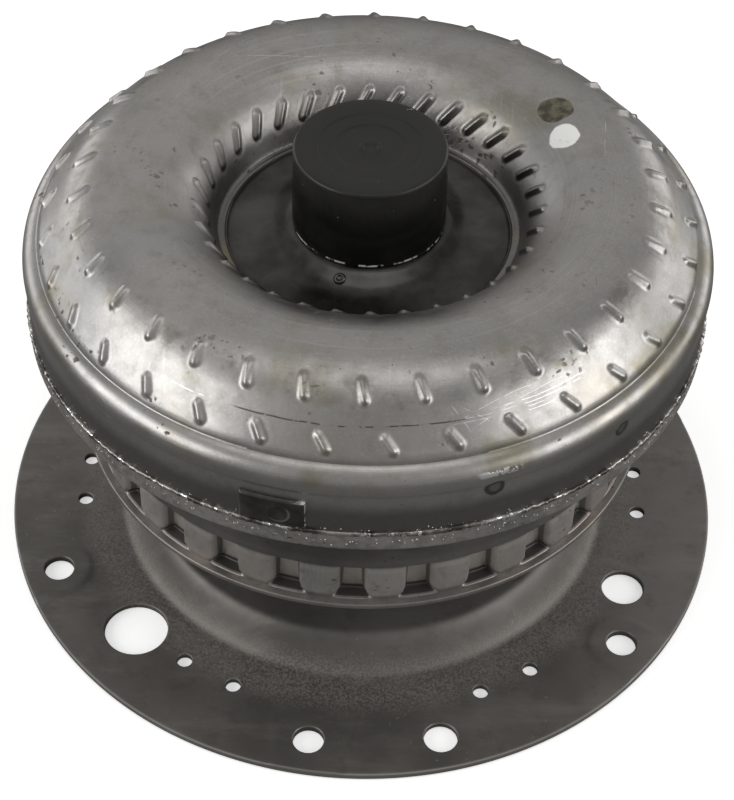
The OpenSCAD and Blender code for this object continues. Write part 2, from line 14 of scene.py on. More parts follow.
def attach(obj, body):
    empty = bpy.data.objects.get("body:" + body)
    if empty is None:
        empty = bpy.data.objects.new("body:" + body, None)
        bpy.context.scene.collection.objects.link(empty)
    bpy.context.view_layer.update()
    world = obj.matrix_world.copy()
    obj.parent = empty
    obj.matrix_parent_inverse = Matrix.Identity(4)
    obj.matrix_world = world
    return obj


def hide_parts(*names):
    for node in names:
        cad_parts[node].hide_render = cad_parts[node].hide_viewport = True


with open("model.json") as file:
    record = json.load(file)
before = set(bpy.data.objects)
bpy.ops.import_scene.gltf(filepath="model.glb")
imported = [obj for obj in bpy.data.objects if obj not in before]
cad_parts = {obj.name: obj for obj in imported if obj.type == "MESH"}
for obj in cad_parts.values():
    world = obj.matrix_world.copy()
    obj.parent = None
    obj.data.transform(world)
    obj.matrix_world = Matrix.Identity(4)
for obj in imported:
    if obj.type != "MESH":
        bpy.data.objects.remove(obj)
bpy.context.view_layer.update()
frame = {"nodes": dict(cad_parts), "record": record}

MM = 0.001
rng = np.random.default_rng(7)


# ---- camera

CAMERA_AT = (0.0, -0.6380, 0.7111)
CAMERA_PITCH = 45.606
CAMERA_YAW = -0.110
CAMERA_ROLL = 1.549
CAMERA_LENS = 92.33


def make_camera():
    pitch, yaw = radians(CAMERA_PITCH), radians(CAMERA_YAW)
    back = Vector((sin(yaw) * cos(pitch), -cos(yaw) * cos(pitch), sin(pitch)))
    right = Vector((cos(yaw), sin(yaw), 0.0))
    up = back.cross(right)
    turn = Matrix((right, up, back)).transposed().to_4x4()
    data = bpy.data.cameras.new("camera")
    data.sensor_width = 36.0
    data.lens = CAMERA_LENS
    data.clip_start, data.clip_end = 0.01, 20.0
    camera = bpy.data.objects.new("camera", data)
    roll = Matrix.Rotation(radians(CAMERA_ROLL), 4, "Z")
    camera.matrix_world = Matrix.Translation(CAMERA_AT) @ turn @ roll
    bpy.context.collection.objects.link(camera)
    bpy.context.scene.camera = camera


# ---- meshes

def mesh(name, points_mm, faces, material, smooth=True):
    """A new object from points in millimetres. material is a name in MATERIALS."""
    data = bpy.data.meshes.new(name)
    data.from_pydata((np.asarray(points_mm, float) * MM).tolist(), [], faces)
    data.polygons.foreach_set("use_smooth", [smooth] * len(data.polygons))
    data.materials.append(MATERIALS[material])
    data.validate()
    piece = bpy.data.objects.new(name, data)
    bpy.context.collection.objects.link(piece)
    return piece


def grid_faces(rows, columns, wrap_rows=False):
    """Quads of a grid that closes round its columns, and round its rows too if asked."""
    last = rows if wrap_rows else rows - 1
    i, j = np.meshgrid(np.arange(last), np.arange(columns), indexing="ij")
    k, n = (i + 1) % rows, (j + 1) % columns
    quads = np.stack([i * columns + j, i * columns + n, k * columns + n, k * columns + j], -1)
    return quads.reshape(-1, 4).tolist()


def ring_points(turn, r, z):
    """One row of points round the axis. turn is in radians, and r and z are numbers or one value per column."""
    return np.stack(np.broadcast_arrays(r * np.cos(turn), r * np.sin(turn), z), -1).tolist()


def arc(centre_r, centre_z, radius, start, stop, count):
    """Points of a round stretch of an outline."""
    angles = np.radians(np.linspace(start, stop, count + 1))
    return [(centre_r + radius * cos(a), centre_z + radius * sin(a)) for a in angles]


def polar_point(angle, radius, height):
    a = radians(angle)
    return radius * cos(a), radius * sin(a), height


def smoothstep(low, high, value):
    t = np.clip((value - low) / (high - low), 0.0, 1.0)
    return t * t * (3.0 - 2.0 * t)


def resample(outline, spacing):
    """Walks an outline and returns points, arc lengths and normals, with spacing(s) between rows."""
    points = np.array(outline, float)
    length = np.concatenate([[0.0], np.cumsum(np.hypot(*np.diff(points, axis=0).T))])
    fine = np.arange(0.0, length[-1], 0.05)
    density = np.cumsum(1.0 / spacing(fine)) * 0.05
    count = max(2, int(round(density[-1])))
    s = np.interp(np.linspace(density[0], density[-1], count), density, fine)
    s[0], s[-1] = 0.0, length[-1]
    at = np.stack([np.interp(s, length, points[:, k]) for k in (0, 1)], 1)
    ahead = np.stack([np.interp(s + 0.3, length, points[:, k]) for k in (0, 1)], 1)
    behind = np.stack([np.interp(s - 0.3, length, points[:, k]) for k in (0, 1)], 1)
    along = ahead - behind
    along /= np.maximum(np.hypot(along[:, 0], along[:, 1]), 1e-9)[:, None]
    return at, s, np.stack([along[:, 1], -along[:, 0]], 1)


def revolve(name, at, normals, angles, lift, back, material, sharp):
    """A closed ring: the outer rows with a lift along their normals, then the plain back rows.

    angles is one row of degrees per outer row, lift has the same shape, and back is a list of (r, z).
    """
    r = at[:, 0, None] + normals[:, 0, None] * lift
    z = at[:, 1, None] + normals[:, 1, None] * lift
    back_r = np.array([p[0] for p in back], float)[:, None] + np.zeros(angles.shape[1])
    back_z = np.array([p[1] for p in back], float)[:, None] + np.zeros(angles.shape[1])
    mix = np.linspace(0.0, 1.0, len(back) + 2)[1:-1, None]
    back_angles = angles[-1][None] * (1.0 - mix) + angles[0][None] * mix
    r, z = np.concatenate([r, back_r]), np.concatenate([z, back_z])
    turn = np.radians(np.concatenate([angles, back_angles]))
    points = np.stack([r * np.cos(turn), r * np.sin(turn), z], -1).reshape(-1, 3)
    piece = mesh(name, points, grid_faces(len(r), angles.shape[1], True), material)
    piece.data.set_sharp_from_angle(angle=radians(sharp))
    return piece


def lathe(name, outline, material, columns, sharp=32.0):
    """A closed outline turned round the axis. A point on the axis is one vertex, repeated in its row."""
    turn = np.radians(np.arange(columns) * 360.0 / columns)
    points, faces, rows = [], [], []
    for r, z in outline:
        start, pole = len(points), r < 1e-6
        rows.append([start] * columns if pole else range(start, start + columns))
        points += [(0.0, 0.0, z)] if pole else ring_points(turn, r, z)
    for low, high in zip(rows, rows[1:] + rows[:1]):
        for j in range(columns):
            n = (j + 1) % columns
            face = list(dict.fromkeys((low[j], low[n], high[n], high[j])))
            if len(face) > 2:
                faces.append(face)
    piece = mesh(name, points, faces, material)
    piece.data.set_sharp_from_angle(angle=radians(sharp))
    return piece


def round_corners(outline, radii, steps):
    """Rounds each corner of an outline by its own radius. A corner of radius 0 stays sharp."""
    points = [np.array(p, float) for p in outline]
    result = []
    for i, (corner, size) in enumerate(zip(points, radii)):
        if size <= 0:
            result.append(tuple(corner))
            continue
        before, after = points[i - 1] - corner, points[(i + 1) % len(points)] - corner
        size = min(size, 0.45 * np.hypot(*before), 0.45 * np.hypot(*after))
        start = corner + before / np.hypot(*before) * size
        end = corner + after / np.hypot(*after) * size
        for t in np.linspace(0.0, 1.0, steps + 1):
            result.append(tuple(start * (1 - t) ** 2 + corner * 2 * t * (1 - t) + end * t * t))
    return result


def blob(centre, normal, size, flat):
    """Points and faces of one small rounded drop lying on a surface."""
    centre, normal = Vector(centre), Vector(normal).normalized()
    side = normal.orthogonal().normalized()
    other = normal.cross(side)
    sides, rings = 6, ((1.0, -0.2), (0.92, 0.35), (0.6, 0.8))
    points = []
    for reach, height in rings:
        for k in range(sides):
            a = 2 * pi * k / sides
            out = side * cos(a) + other * sin(a)
            points.append(centre + out * (size * reach) + normal * (size * flat * height))
    points += [centre + normal * (size * flat), centre - normal * (size * flat * 0.2)]
    faces = grid_faces(len(rings), sides)
    top, low = len(points) - 2, len(points) - 1
    last = (len(rings) - 1) * sides
    for k in range(sides):
        n = (k + 1) % sides
        faces += [(last + k, last + n, top), (n, k, low)]
    return [tuple(p) for p in points], faces


def drill(piece, cutters, sharp):
    """Cuts each cutter out of a piece and removes the cutters."""
    for cutter in cutters:
        cut = piece.modifiers.new("drill", "BOOLEAN")
        cut.operation, cut.object, cut.solver = "DIFFERENCE", cutter, "EXACT"
    bpy.context.view_layer.update()
    graph = bpy.context.evaluated_depsgraph_get()
    data = bpy.data.meshes.new_from_object(piece.evaluated_get(graph))
    piece.modifiers.clear()
    piece.data = data
    for cutter in cutters:
        bpy.data.objects.remove(cutter, do_unlink=True)
    piece.data.set_sharp_from_angle(angle=radians(sharp))


def join(parts):
    """Points and faces of many small solids as one list."""
    points, faces = [], []
    for more_points, more_faces in parts:
        base = len(points)
        points += more_points
        faces += [tuple(base + v for v in f) for f in more_faces]
    return points, faces


# ---- shared sizes

SKIRT_R = 140.5
MM_PER_DEGREE = 2.452  # along the skirt
WELD_Z = 131.6
PLATE_R = 160.0
WEIGHT_ANGLE = 256.35
TORUS_R = 97.0
TORUS_Z = 153.0
SECTION_R = 36.0
CONE_ANGLE = 42.0
CONE_END_R = 137.0
BEND_R = 132.6
BEAD_R = 141.2
FLOOR_Z = 161.0
HUB_SEAT_R = 58.6
WALL = 3.0
CAP_R = 31.3
CAP_LOW = 166.4
CAP_TOP = 202.8


# ---- material nodes

class Nodes:
    """Short calls for building one material's node tree. colour holds the base colour as it builds up."""

    def __init__(self, name):
        self.material = bpy.data.materials.new(name)
        self.material.use_nodes = True
        self.tree = self.material.node_tree
        self.tree.nodes.clear()
        self.out = self.node("OutputMaterial")
        self.shader = self.node("BsdfPrincipled")
        self.tree.links.new(self.shader.outputs["BSDF"], self.out.inputs["Surface"])
        self.position = self.node("TexCoord").outputs["Object"]
        self.colour = None

    def put(self, socket, value):
        if isinstance(value, bpy.types.NodeSocket):
            self.tree.links.new(value, socket)
        elif socket.type == "RGBA":
            socket.default_value = (*value, 1.0)
        else:
            socket.default_value = value

    def fill(self, node, inputs):
        for name, value in inputs.items():
            self.put(node.inputs[name.replace("_", " ")], value)

    def node(self, kind, **inputs):
        """A new shader node, with its inputs set by name."""
        node = self.tree.nodes.new("ShaderNode" + kind)
        self.fill(node, inputs)
        return node

    def set(self, **inputs):
        self.fill(self.shader, inputs)

    def math(self, operation, *values):
        node = self.node("Math")
        node.operation = operation
        for socket, value in zip(node.inputs, values):
            self.put(socket, value)
        return node.outputs[0]

    def chain(self, operation, values):
        total = values[0]
        for value in values[1:]:
            total = self.math(operation, total, value)
        return total

    def mul(self, *values):
        return self.chain("MULTIPLY", values)

    def add(self, *values):
        return self.chain("ADD", values)

    def most(self, *values):
        return self.chain("MAXIMUM", values)

    def sub(self, a, b):
        return self.math("SUBTRACT", a, b)

    def vector_math(self, operation, *values, **inputs):
        node = self.node("VectorMath")
        node.operation = operation
        for socket, value in zip(node.inputs, values):
            self.put(socket, value)
        self.fill(node, inputs)
        return node.outputs["Value" if operation == "DISTANCE" else "Vector"]

    def between(self, kind, factor, a, b):
        node = self.node("Mix")
        node.data_type = kind
        self.fill(node, {"Factor": factor, "A": a, "B": b})
        return node.outputs["Result"]

    def mix(self, factor, a, b):
        """A colour between a and b."""
        return self.between("RGBA", factor, a, b)

    def blend(self, factor, a, b):
        """A number between a and b."""
        return self.between("FLOAT", factor, a, b)

    def lay(self, mask, over, strength=None):
        """Lays a colour over the base colour where the mask is 1."""
        self.colour = self.mix(mask if strength is None else self.mul(mask, strength), self.colour, over)

    def step(self, value, low, high):
        """0 below low, 1 above high, smooth between. low above high turns it round."""
        first, last = (0.0, 1.0) if low < high else (1.0, 0.0)
        node = self.node("MapRange", Value=value)
        node.interpolation_type = "SMOOTHSTEP"
        ends = {"From_Min": min(low, high), "From_Max": max(low, high), "To_Min": first, "To_Max": last}
        self.fill(node, ends)
        return node.outputs["Result"]

    def band(self, value, middle, half, soft):
        """1 within half of middle, fading out over soft."""
        away = self.math("ABSOLUTE", self.sub(value, middle))
        return self.step(away, half + soft, half)

    def noise(self, scale, detail=3.0, rough=0.55, vector=None, stretch=None):
        source = vector or self.position
        if stretch:
            source = self.node("Mapping", Vector=source, Scale=stretch).outputs["Vector"]
        return self.node("TexNoise", Vector=source, Scale=scale, Detail=detail, Roughness=rough).outputs["Fac"]

    def patches(self, scale, detail, low, high, rough=0.55):
        """Noise cut into patches between two levels."""
        return self.step(self.noise(scale, detail, rough), low, high)

    def specks(self, scale, shake, shake_scale, edge, patch_scale, patch_edge, detail=2.0, rough=0.55):
        """Ragged specks, gathered in patches. shake is how far their edges wander, in millimetres."""
        cells = self.node("TexVoronoi", Vector=self.warp(shake, shake_scale), Scale=scale)
        dots = self.step(cells.outputs["Distance"], *edge)
        return self.mul(dots, self.patches(patch_scale, detail, *patch_edge, rough))

    def combine(self, x, y, z):
        return self.node("CombineXYZ", X=x, Y=y, Z=z).outputs[0]

    def polar(self):
        """Radius, angle in degrees from 0 to 360, and height, with lengths in millimetres."""
        x, y, z = self.node("SeparateXYZ", Vector=self.position).outputs
        radius = self.math("SQRT", self.add(self.mul(x, x), self.mul(y, y)))
        angle = self.mul(self.math("ARCTAN2", y, x), 180.0 / pi)
        angle = self.math("FLOORED_MODULO", angle, 360.0)
        return self.mul(radius, 1000.0), angle, self.mul(z, 1000.0)

    def around(self, radius, angle, height, squeeze):
        """A vector that follows the turning direction, squeezed along it, so noise draws turned lines."""
        turn = self.mul(angle, pi / 180.0)
        near_x = self.mul(self.math("COSINE", turn), 100.0 * squeeze)
        near_y = self.mul(self.math("SINE", turn), 100.0 * squeeze)
        return self.combine(near_x, near_y, self.add(radius, height))

    def spot(self, x, y, z, size, soft, vector):
        """1 inside a ball round a point in millimetres, 0 outside it."""
        away = self.vector_math("DISTANCE", vector, (x * MM, y * MM, z * MM))
        return self.step(away, size * MM * (1 + soft), size * MM * (1 - soft))

    def warp(self, amount, scale):
        """The position, shaken by noise. amount is in millimetres."""
        shake = self.node("TexNoise", Vector=self.position, Scale=scale, Detail=3.0).outputs["Color"]
        centred = self.vector_math("SUBTRACT", shake, (0.5, 0.5, 0.5))
        sized = self.vector_math("SCALE", centred, Scale=amount * MM * 2)
        return self.vector_math("ADD", self.position, sized)

    def bump(self, height, distance, strength, **under):
        """A normal that rises with height. distance is in millimetres."""
        node = self.node("Bump", Strength=strength, Distance=distance * MM, Height=height, **under)
        return node.outputs["Normal"]

    def vary(self, cloud, low, high):
        """A number between low and high that follows a cloudy noise."""
        return self.blend(self.step(cloud, 0.3, 0.7), low, high)

    def finish(self, rough, normal, **inputs):
        """Sets the shader and returns the finished material."""
        self.set(Base_Color=self.colour, Roughness=rough, Normal=normal, **inputs)
        return self.material


def scratch_set(n, lines, width):
    """Straight scratches seen from above. Each line is (angle, radius) to (angle, radius)."""
    place = n.node("SeparateXYZ", Vector=n.warp(0.5, 60.0))
    x, y = n.mul(place.outputs[0], 1000.0), n.mul(place.outputs[1], 1000.0)
    total = None
    for start_angle, start_r, end_angle, end_r in lines:
        ax, ay, _ = polar_point(start_angle, start_r, 0.0)
        bx, by, _ = polar_point(end_angle, end_r, 0.0)
        length = hypot(bx - ax, by - ay)
        ux, uy = (bx - ax) / length, (by - ay) / length
        along = n.add(n.mul(x, ux), n.mul(y, uy))
        side = n.sub(n.mul(x, -uy), n.mul(y, -ux))
        line = n.band(side, -ax * uy + ay * ux, width * 0.4, width)
        line = n.mul(line, n.band(along, ax * ux + ay * uy + length / 2, length / 2 - 1.0, 1.5))
        total = line if total is None else n.most(total, line)
    return total


# ---- materials

def grey(value, warm=0.0):
    """A grey in linear light, with a little warmth."""
    return (value * (1 + warm), value, value * (1 - warm))


def shell_steel():
    """Bare pressed steel of the impeller shell: turned lines, tints, scuffs, rust specks and paint dabs."""
    n = Nodes("bare_steel")
    radius, angle, height = n.polar()
    cloud = n.noise(9.0, 4.0, 0.6)
    mottle = n.noise(85.0, 4.0, 0.7)
    grit = n.noise(900.0, 2.0, 0.6)
    lines = n.noise(2.6, 4.0, 0.7, n.around(radius, angle, height, 0.012))
    fine_lines = n.noise(9.0, 2.0, 0.6, n.around(radius, angle, height, 0.02))
    n.colour = n.mix(n.step(cloud, 0.3, 0.7), grey(0.37, 0.03), grey(0.46, 0.04))
    n.lay(n.step(mottle, 0.45, 0.75), grey(0.26, 0.07), 0.5)
    n.lay(n.step(lines, 0.55, 0.75), grey(0.56, 0.03), 0.25)
    n.lay(n.step(grit, 0.5, 0.7), grey(0.58, 0.02), 0.3)
    # Straw and blue heat tints near the crease, and on the skirt
    tint = n.mul(n.band(height, 163.0, 6.0, 10.0), n.patches(26.0, 3.0, 0.48, 0.66))
    n.lay(tint, (0.38, 0.32, 0.22), 0.24)
    cool = n.mul(n.step(n.noise(15.0, 2.0, 0.5, n.warp(4.0, 30.0)), 0.56, 0.72), 0.3)
    n.lay(cool, (0.34, 0.36, 0.39))
    # Soot from the seam weld, darkest along the joint
    soot = n.step(n.add(height, n.mul(n.noise(55.0, 4.0, 0.65), 6.0)), 152.5, 143.5)
    n.lay(soot, grey(0.10, 0.07), 0.72)
    # Dark grease where the inner slope runs down into the bowl
    bowl = n.step(n.add(radius, n.mul(n.noise(20.0, 3.0), 9.0)), 78.0, 65.0)
    grease = n.mul(bowl, n.blend(n.patches(24.0, 3.0, 0.3, 0.7), 0.6, 1.0))
    n.lay(grease, grey(0.10, 0.05), 0.88)
    # Brown stains round the inner row of bumps
    near_rows = n.step(height, 165.0, 168.0)
    stain = n.mul(n.band(radius, 117.6, 3.4, 4.5), n.patches(58.0, 4.0, 0.50, 0.66, 0.65), near_rows)
    n.lay(stain, (0.15, 0.125, 0.10), 0.5)
    # Rust and oil specks
    zone = n.add(n.band(height, 163.0, 4.0, 5.0), n.mul(n.band(height, 182.0, 4.0, 5.0), 0.75))
    zone = n.math("MINIMUM", zone, 1.0)
    rust = n.mul(n.specks(300.0, 2.5, 300.0, (0.36, 0.22), 38.0, (0.57, 0.62), 3.0, 0.6), zone)
    dirt = n.most(rust, n.specks(150.0, 4.0, 160.0, (0.065, 0.03), 12.0, (0.52, 0.58)))
    n.lay(dirt, (0.06, 0.047, 0.03), 0.8)
    n.lay(n.mul(zone, n.patches(34.0, 3.0, 0.53, 0.68)), (0.23, 0.20, 0.11), 0.5)
    # A scribed ring between the two rows of bumps: dark and dashed in front, bright at both ends
    ring = n.add(radius, n.mul(n.sub(n.noise(30.0, 3.0), 0.5), 1.6))
    scribe = n.mul(n.band(ring, 126.4, 0.05, 0.24), n.band(angle, 267.5, 18.0, 3.0),
                   n.patches(240.0, 3.0, 0.42, 0.5), near_rows)
    n.lay(scribe, (0.07, 0.055, 0.04), 0.8)
    marks = n.mul(n.band(ring, 126.6, 0.05, 0.2), n.band(angle, 238.5, 3.5, 2.0))
    for mark_r, middle, reach in ((126.3, 297.0, 11.0), (127.2, 293.0, 7.0), (125.3, 301.0, 8.0),
                                  (128.2, 299.0, 5.0)):
        marks = n.most(marks, n.mul(n.band(ring, mark_r, 0.04, 0.17), n.band(angle, middle, reach, 2.0)))
    marks = n.most(marks, scratch_set(n, [
        (285.0, 122.5, 287.5, 129.0), (287.0, 123.5, 291.0, 128.0), (286.0, 126.5, 300.0, 122.5),
        (288.0, 129.0, 306.0, 124.0), (107.0, 84.0, 128.0, 96.0), (118.0, 107.0, 131.0, 100.0),
        (62.0, 104.0, 47.0, 111.0), (22.0, 104.0, 9.0, 96.0)], 0.1))
    marks = n.mul(marks, n.patches(150.0, 2.0, 0.40, 0.50), near_rows)
    hair = n.noise(1.0, 0.0, 0.5, n.warp(2.5, 9.0), (420.0, 26.0, 30.0))
    hair = n.mul(n.step(hair, 0.74, 0.82), n.patches(18.0, 2.0, 0.5, 0.62), near_rows, 0.25)
    bright = n.most(marks, hair)
    n.lay(bright, grey(0.86), 0.75)
    # Turned rings inside the crest
    rings = n.noise(1.0, 3.0, 0.7, n.combine(n.mul(radius, 0.9), n.mul(angle, 0.006), 0.0))
    rings = n.mul(n.step(rings, 0.52, 0.66), n.band(radius, 89.0, 9.0, 9.0), n.patches(12.0, 2.0, 0.36, 0.6))
    n.lay(rings, grey(0.6, 0.03), 0.4)
    # Two scorched spot marks low on the skirt, with a smear of bright spatter above one
    spot_shape = n.warp(1.2, 190.0)
    spots = None
    for spot_angle, spot_z, size in ((290.4, 149.6, 4.0), (314.1, 151.2, 3.6)):
        at = polar_point(spot_angle, SKIRT_R, spot_z)
        pale_middle = n.mul(n.spot(*at, size * 0.55, 0.3, spot_shape), 0.45)
        mark = n.sub(n.spot(*at, size, 0.12, spot_shape), pale_middle)
        spots = mark if spots is None else n.most(spots, mark)
    n.lay(spots, grey(0.045, 0.06), 0.8)
    smear = n.mul(n.band(angle, 291.0, 2.6, 1.6), n.band(height, 157.6, 0.6, 1.1),
                  n.patches(230.0, 3.0, 0.46, 0.52, 0.7))
    n.lay(smear, grey(0.9))
    rough = n.vary(cloud, 0.33, 0.42)
    rough = n.add(rough, n.mul(n.sub(lines, 0.5), 0.12), n.mul(n.sub(mottle, 0.5), 0.35))
    rough = n.blend(n.most(dirt, n.mul(soot, 0.4)), rough, 0.62)
    rough = n.blend(n.mul(grease, 0.8), rough, 0.24)
    # Paint dabs
    dab_shape = n.warp(2.2, 90.0)
    olive_dab = n.spot(*polar_point(30.9, 89.0, 188.1), 7.4, 0.06, dab_shape)
    white_dab = n.spot(*polar_point(20.5, 84.6, 186.9), 6.6, 0.05, dab_shape)
    brush = n.noise(260.0, 3.0, 0.7)
    n.lay(olive_dab, n.mix(n.step(brush, 0.35, 0.65), (0.045, 0.04, 0.025), (0.15, 0.135, 0.09)))
    n.lay(white_dab, n.mix(n.step(brush, 0.28, 0.45), (0.8, 0.79, 0.76), (0.97, 0.97, 0.95)))
    paint = n.most(olive_dab, white_dab)
    rough = n.blend(paint, rough, 0.5)
    relief = n.add(n.mul(lines, 0.5), n.mul(fine_lines, 0.25), n.mul(mottle, 0.8), n.mul(grit, 0.2))
    cut = n.add(n.most(dirt, scribe), n.mul(n.most(bright, spots), 0.6), n.mul(rings, 0.15))
    marked = n.sub(n.add(paint, smear), n.mul(cut, 0.5))
    return n.finish(rough, n.bump(marked, 0.12, 0.7, Normal=n.bump(relief, 0.11, 0.7)),
                    Metallic=n.blend(n.most(paint, n.mul(dirt, 0.6)), 1.0, 0.0))


def drum_steel():
    """Pressed steel of the clutch drum and cover: drawn streaks up the lobes, painted shade in the cove, on the
    lobes' sides and at the pockets' foot, and a painted lit panel in each pocket.
    """
    n = Nodes("pressed_steel")
    radius, angle, height = n.polar()
    cloud = n.noise(22.0, 4.0, 0.6)
    grain = n.noise(190.0, 3.0, 0.65)
    drawn = n.noise(1.0, 3.0, 0.6, n.combine(n.mul(angle, 2.2), n.mul(height, 0.12), 0.0))
    turned = n.noise(3.2, 3.0, 0.7, n.around(radius, angle, height, 0.014))
    n.colour = n.mix(n.step(cloud, 0.3, 0.7), grey(0.36, 0.04), grey(0.5, 0.05))
    n.lay(n.step(drawn, 0.42, 0.62), grey(0.6, 0.03), 0.2)
    n.lay(n.step(grain, 0.5, 0.72), grey(0.2, 0.08), 0.4)
    # Painted shade in the cove under the rim
    cove = n.mul(n.step(height, 84.4, 86.6), n.step(height, 123.4, 122.6))
    n.lay(cove, n.mix(n.step(cloud, 0.35, 0.65), grey(0.085, 0.06), grey(0.15, 0.06)), 0.86)
    worn_rim = n.mix(n.step(grain, 0.4, 0.6), grey(0.16, 0.08), grey(0.4, 0.06))
    n.lay(n.step(height, 123.0, 123.8), worn_rim, 0.5)
    on_lobe = n.step(radius, 116.6, 118.2)
    # Painted highlight: the pocket panels between the lobes lit up above their foot
    lit_pocket_panel = n.mul(n.sub(1.0, on_lobe), n.step(height, 69.0, 71.0))
    n.lay(lit_pocket_panel, (0.68, 0.64, 0.58), 0.5)
    # Painted shade at the pockets' foot, on the lobes' sides and at the lobes' foot
    foot = n.mul(n.step(radius, 118.1, 117.5), n.step(height, 70.4, 69.0), 0.9)
    wall = n.mul(n.band(radius, 116.0, 0.9, 0.7), n.step(height, 67.4, 68.4), 0.7)
    lobe_foot_shade = n.mul(n.step(height, 69.5, 66.9), on_lobe, 0.45)
    n.lay(n.most(foot, wall, lobe_foot_shade), grey(0.06, 0.08))
    rosy = n.mul(on_lobe, n.step(height, 85.0, 83.0), n.patches(36.0, 3.0, 0.42, 0.66))
    n.lay(rosy, (0.56, 0.46, 0.41), 0.3)
    n.lay(n.specks(210.0, 3.0, 200.0, (0.17, 0.08), 30.0, (0.48, 0.58)), (0.055, 0.04, 0.028), 0.75)
    relief = n.add(n.mul(turned, 0.4), n.mul(grain, 0.7), n.mul(drawn, 0.25))
    return n.finish(n.vary(cloud, 0.36, 0.5), n.bump(relief, 0.08, 0.6), Metallic=0.72)


def plain_steel(name, dark, light, rough_low, rough_high, scale, warm, lines, spots):
    """Steel with cloudy tone, turned lines and a few dark specks."""
    n = Nodes(name)
    radius, angle, height = n.polar()
    cloud = n.noise(14.0 * scale, 4.0, 0.6)
    grain = n.noise(160.0 * scale, 3.0, 0.6)
    turned = n.noise(3.2, 3.0, 0.7, n.around(radius, angle, height, 0.014))
    n.colour = n.mix(n.step(cloud, 0.3, 0.7), grey(dark, warm), grey(light, warm))
    n.lay(n.step(grain, 0.5, 0.8), grey(dark * 0.6, warm * 2), 0.3)
    speck = n.specks(170.0 * scale, 3.0, 200.0, (0.16, 0.08), 22.0 * scale, (0.48, 0.58))
    n.lay(speck, (0.05, 0.038, 0.026), spots)
    rough = n.add(n.vary(cloud, rough_low, rough_high), n.mul(n.sub(turned, 0.5), 0.1))
    relief = n.add(n.mul(turned, lines), n.mul(grain, 0.6))
    return n.finish(rough, n.bump(relief, 0.06, 0.6), Metallic=1.0)


def plate_steel():
    """Dark phosphated drive plate: smoky blotches, a speckled band inside the rim and rubbed edges."""
    n = Nodes("dark_plate")
    radius, _, height = n.polar()
    cloud = n.noise(10.0, 5.0, 0.62)
    grain = n.noise(1100.0, 3.0, 0.7)
    smear = n.noise(30.0, 5.0, 0.7, stretch=(0.5, 2.0, 1.0))
    n.colour = n.mix(n.step(cloud, 0.32, 0.68), (0.12, 0.113, 0.104), (0.185, 0.173, 0.16))
    n.lay(n.step(smear, 0.46, 0.7), (0.24, 0.225, 0.208), 0.5)
    n.lay(n.patches(75.0, 5.0, 0.5, 0.68, 0.75), (0.085, 0.08, 0.073), 0.35)
    dust = n.mul(n.step(radius, 134.0, 120.0), n.step(height, 14.0, 2.0), n.step(grain, 0.38, 0.66))
    n.lay(dust, (0.33, 0.31, 0.28), 0.65)
    n.lay(n.specks(230.0, 3.0, 260.0, (0.14, 0.07), 16.0, (0.5, 0.58)), (0.34, 0.31, 0.26), 0.5)
    n.lay(n.step(radius, PLATE_R - 1.1, PLATE_R - 0.3), (0.36, 0.35, 0.33), 0.5)
    relief = n.add(n.mul(grain, 0.8), n.mul(cloud, 0.4))
    return n.finish(n.blend(dust, n.vary(cloud, 0.38, 0.52), 0.7), n.bump(relief, 0.05, 0.6), Metallic=0.5)


def balance_steel():
    """Dark balance weight, with bright cut edges, rubbed bare and painted as catching the light, and a painted
    highlight on the lower edge of the spot-weld dimple.
    """
    n = Nodes("balance_steel")
    _, angle, height = n.polar()
    cloud = n.noise(40.0, 4.0, 0.65)
    n.colour = n.mix(n.step(cloud, 0.35, 0.65), grey(0.06, 0.06), grey(0.13, 0.06))
    # Painted highlights along the cut edges and the right end of the top edge, broken into rubbed patches
    across = n.mul(n.sub(angle, WEIGHT_ANGLE), MM_PER_DEGREE)
    ends = n.step(n.math("ABSOLUTE", across), 12.4, 12.6)
    foot = n.step(height, 134.4, 134.0)
    head = n.mul(n.step(height, 146.6, 146.9), n.step(across, 7.0, 10.5))
    rubbed = n.mul(n.most(ends, foot, head), n.patches(170.0, 3.0, 0.44, 0.54, 0.7), 0.8)
    # Painted highlight on the lower edge of the spot-weld dimple
    dx, dz = n.sub(across, 2.6), n.sub(height, 140.4)
    reach = n.math("SQRT", n.add(n.mul(dx, dx), n.mul(dz, dz)))
    dimple_edge_highlight = n.mul(n.band(reach, 4.3, 0.25, 0.35), n.step(n.sub(dz, dx), 1.0, -2.5), 0.22)
    bright = n.most(rubbed, dimple_edge_highlight)
    n.lay(bright, grey(0.8, 0.05), 0.9)
    relief = n.add(cloud, n.noise(200.0, 3.0, 0.6))
    return n.finish(n.vary(cloud, 0.32, 0.48), n.bump(relief, 0.06, 0.5), Metallic=n.blend(bright, 0.9, 0.25))


def oiled_steel():
    """Hub and bowl floor, black with old oil over turned steel, painted darker still to stand in for the dark
    reflection of the cap.
    """
    n = Nodes("oiled_steel")
    radius, angle, height = n.polar()
    turned = n.noise(4.0, 3.0, 0.7, n.around(radius, angle, height, 0.01))
    film = n.noise(28.0, 4.0, 0.6)
    # Oil-black base, painted darker for the dark reflection of the cap
    n.colour = n.mix(n.step(film, 0.35, 0.7), (0.02, 0.019, 0.017), (0.10, 0.096, 0.088))
    relief = n.add(turned, n.mul(film, 0.5))
    return n.finish(n.vary(film, 0.2, 0.42), n.bump(relief, 0.06, 0.5), Metallic=0.85,
                    Coat_Weight=0.4, Coat_Roughness=0.15)


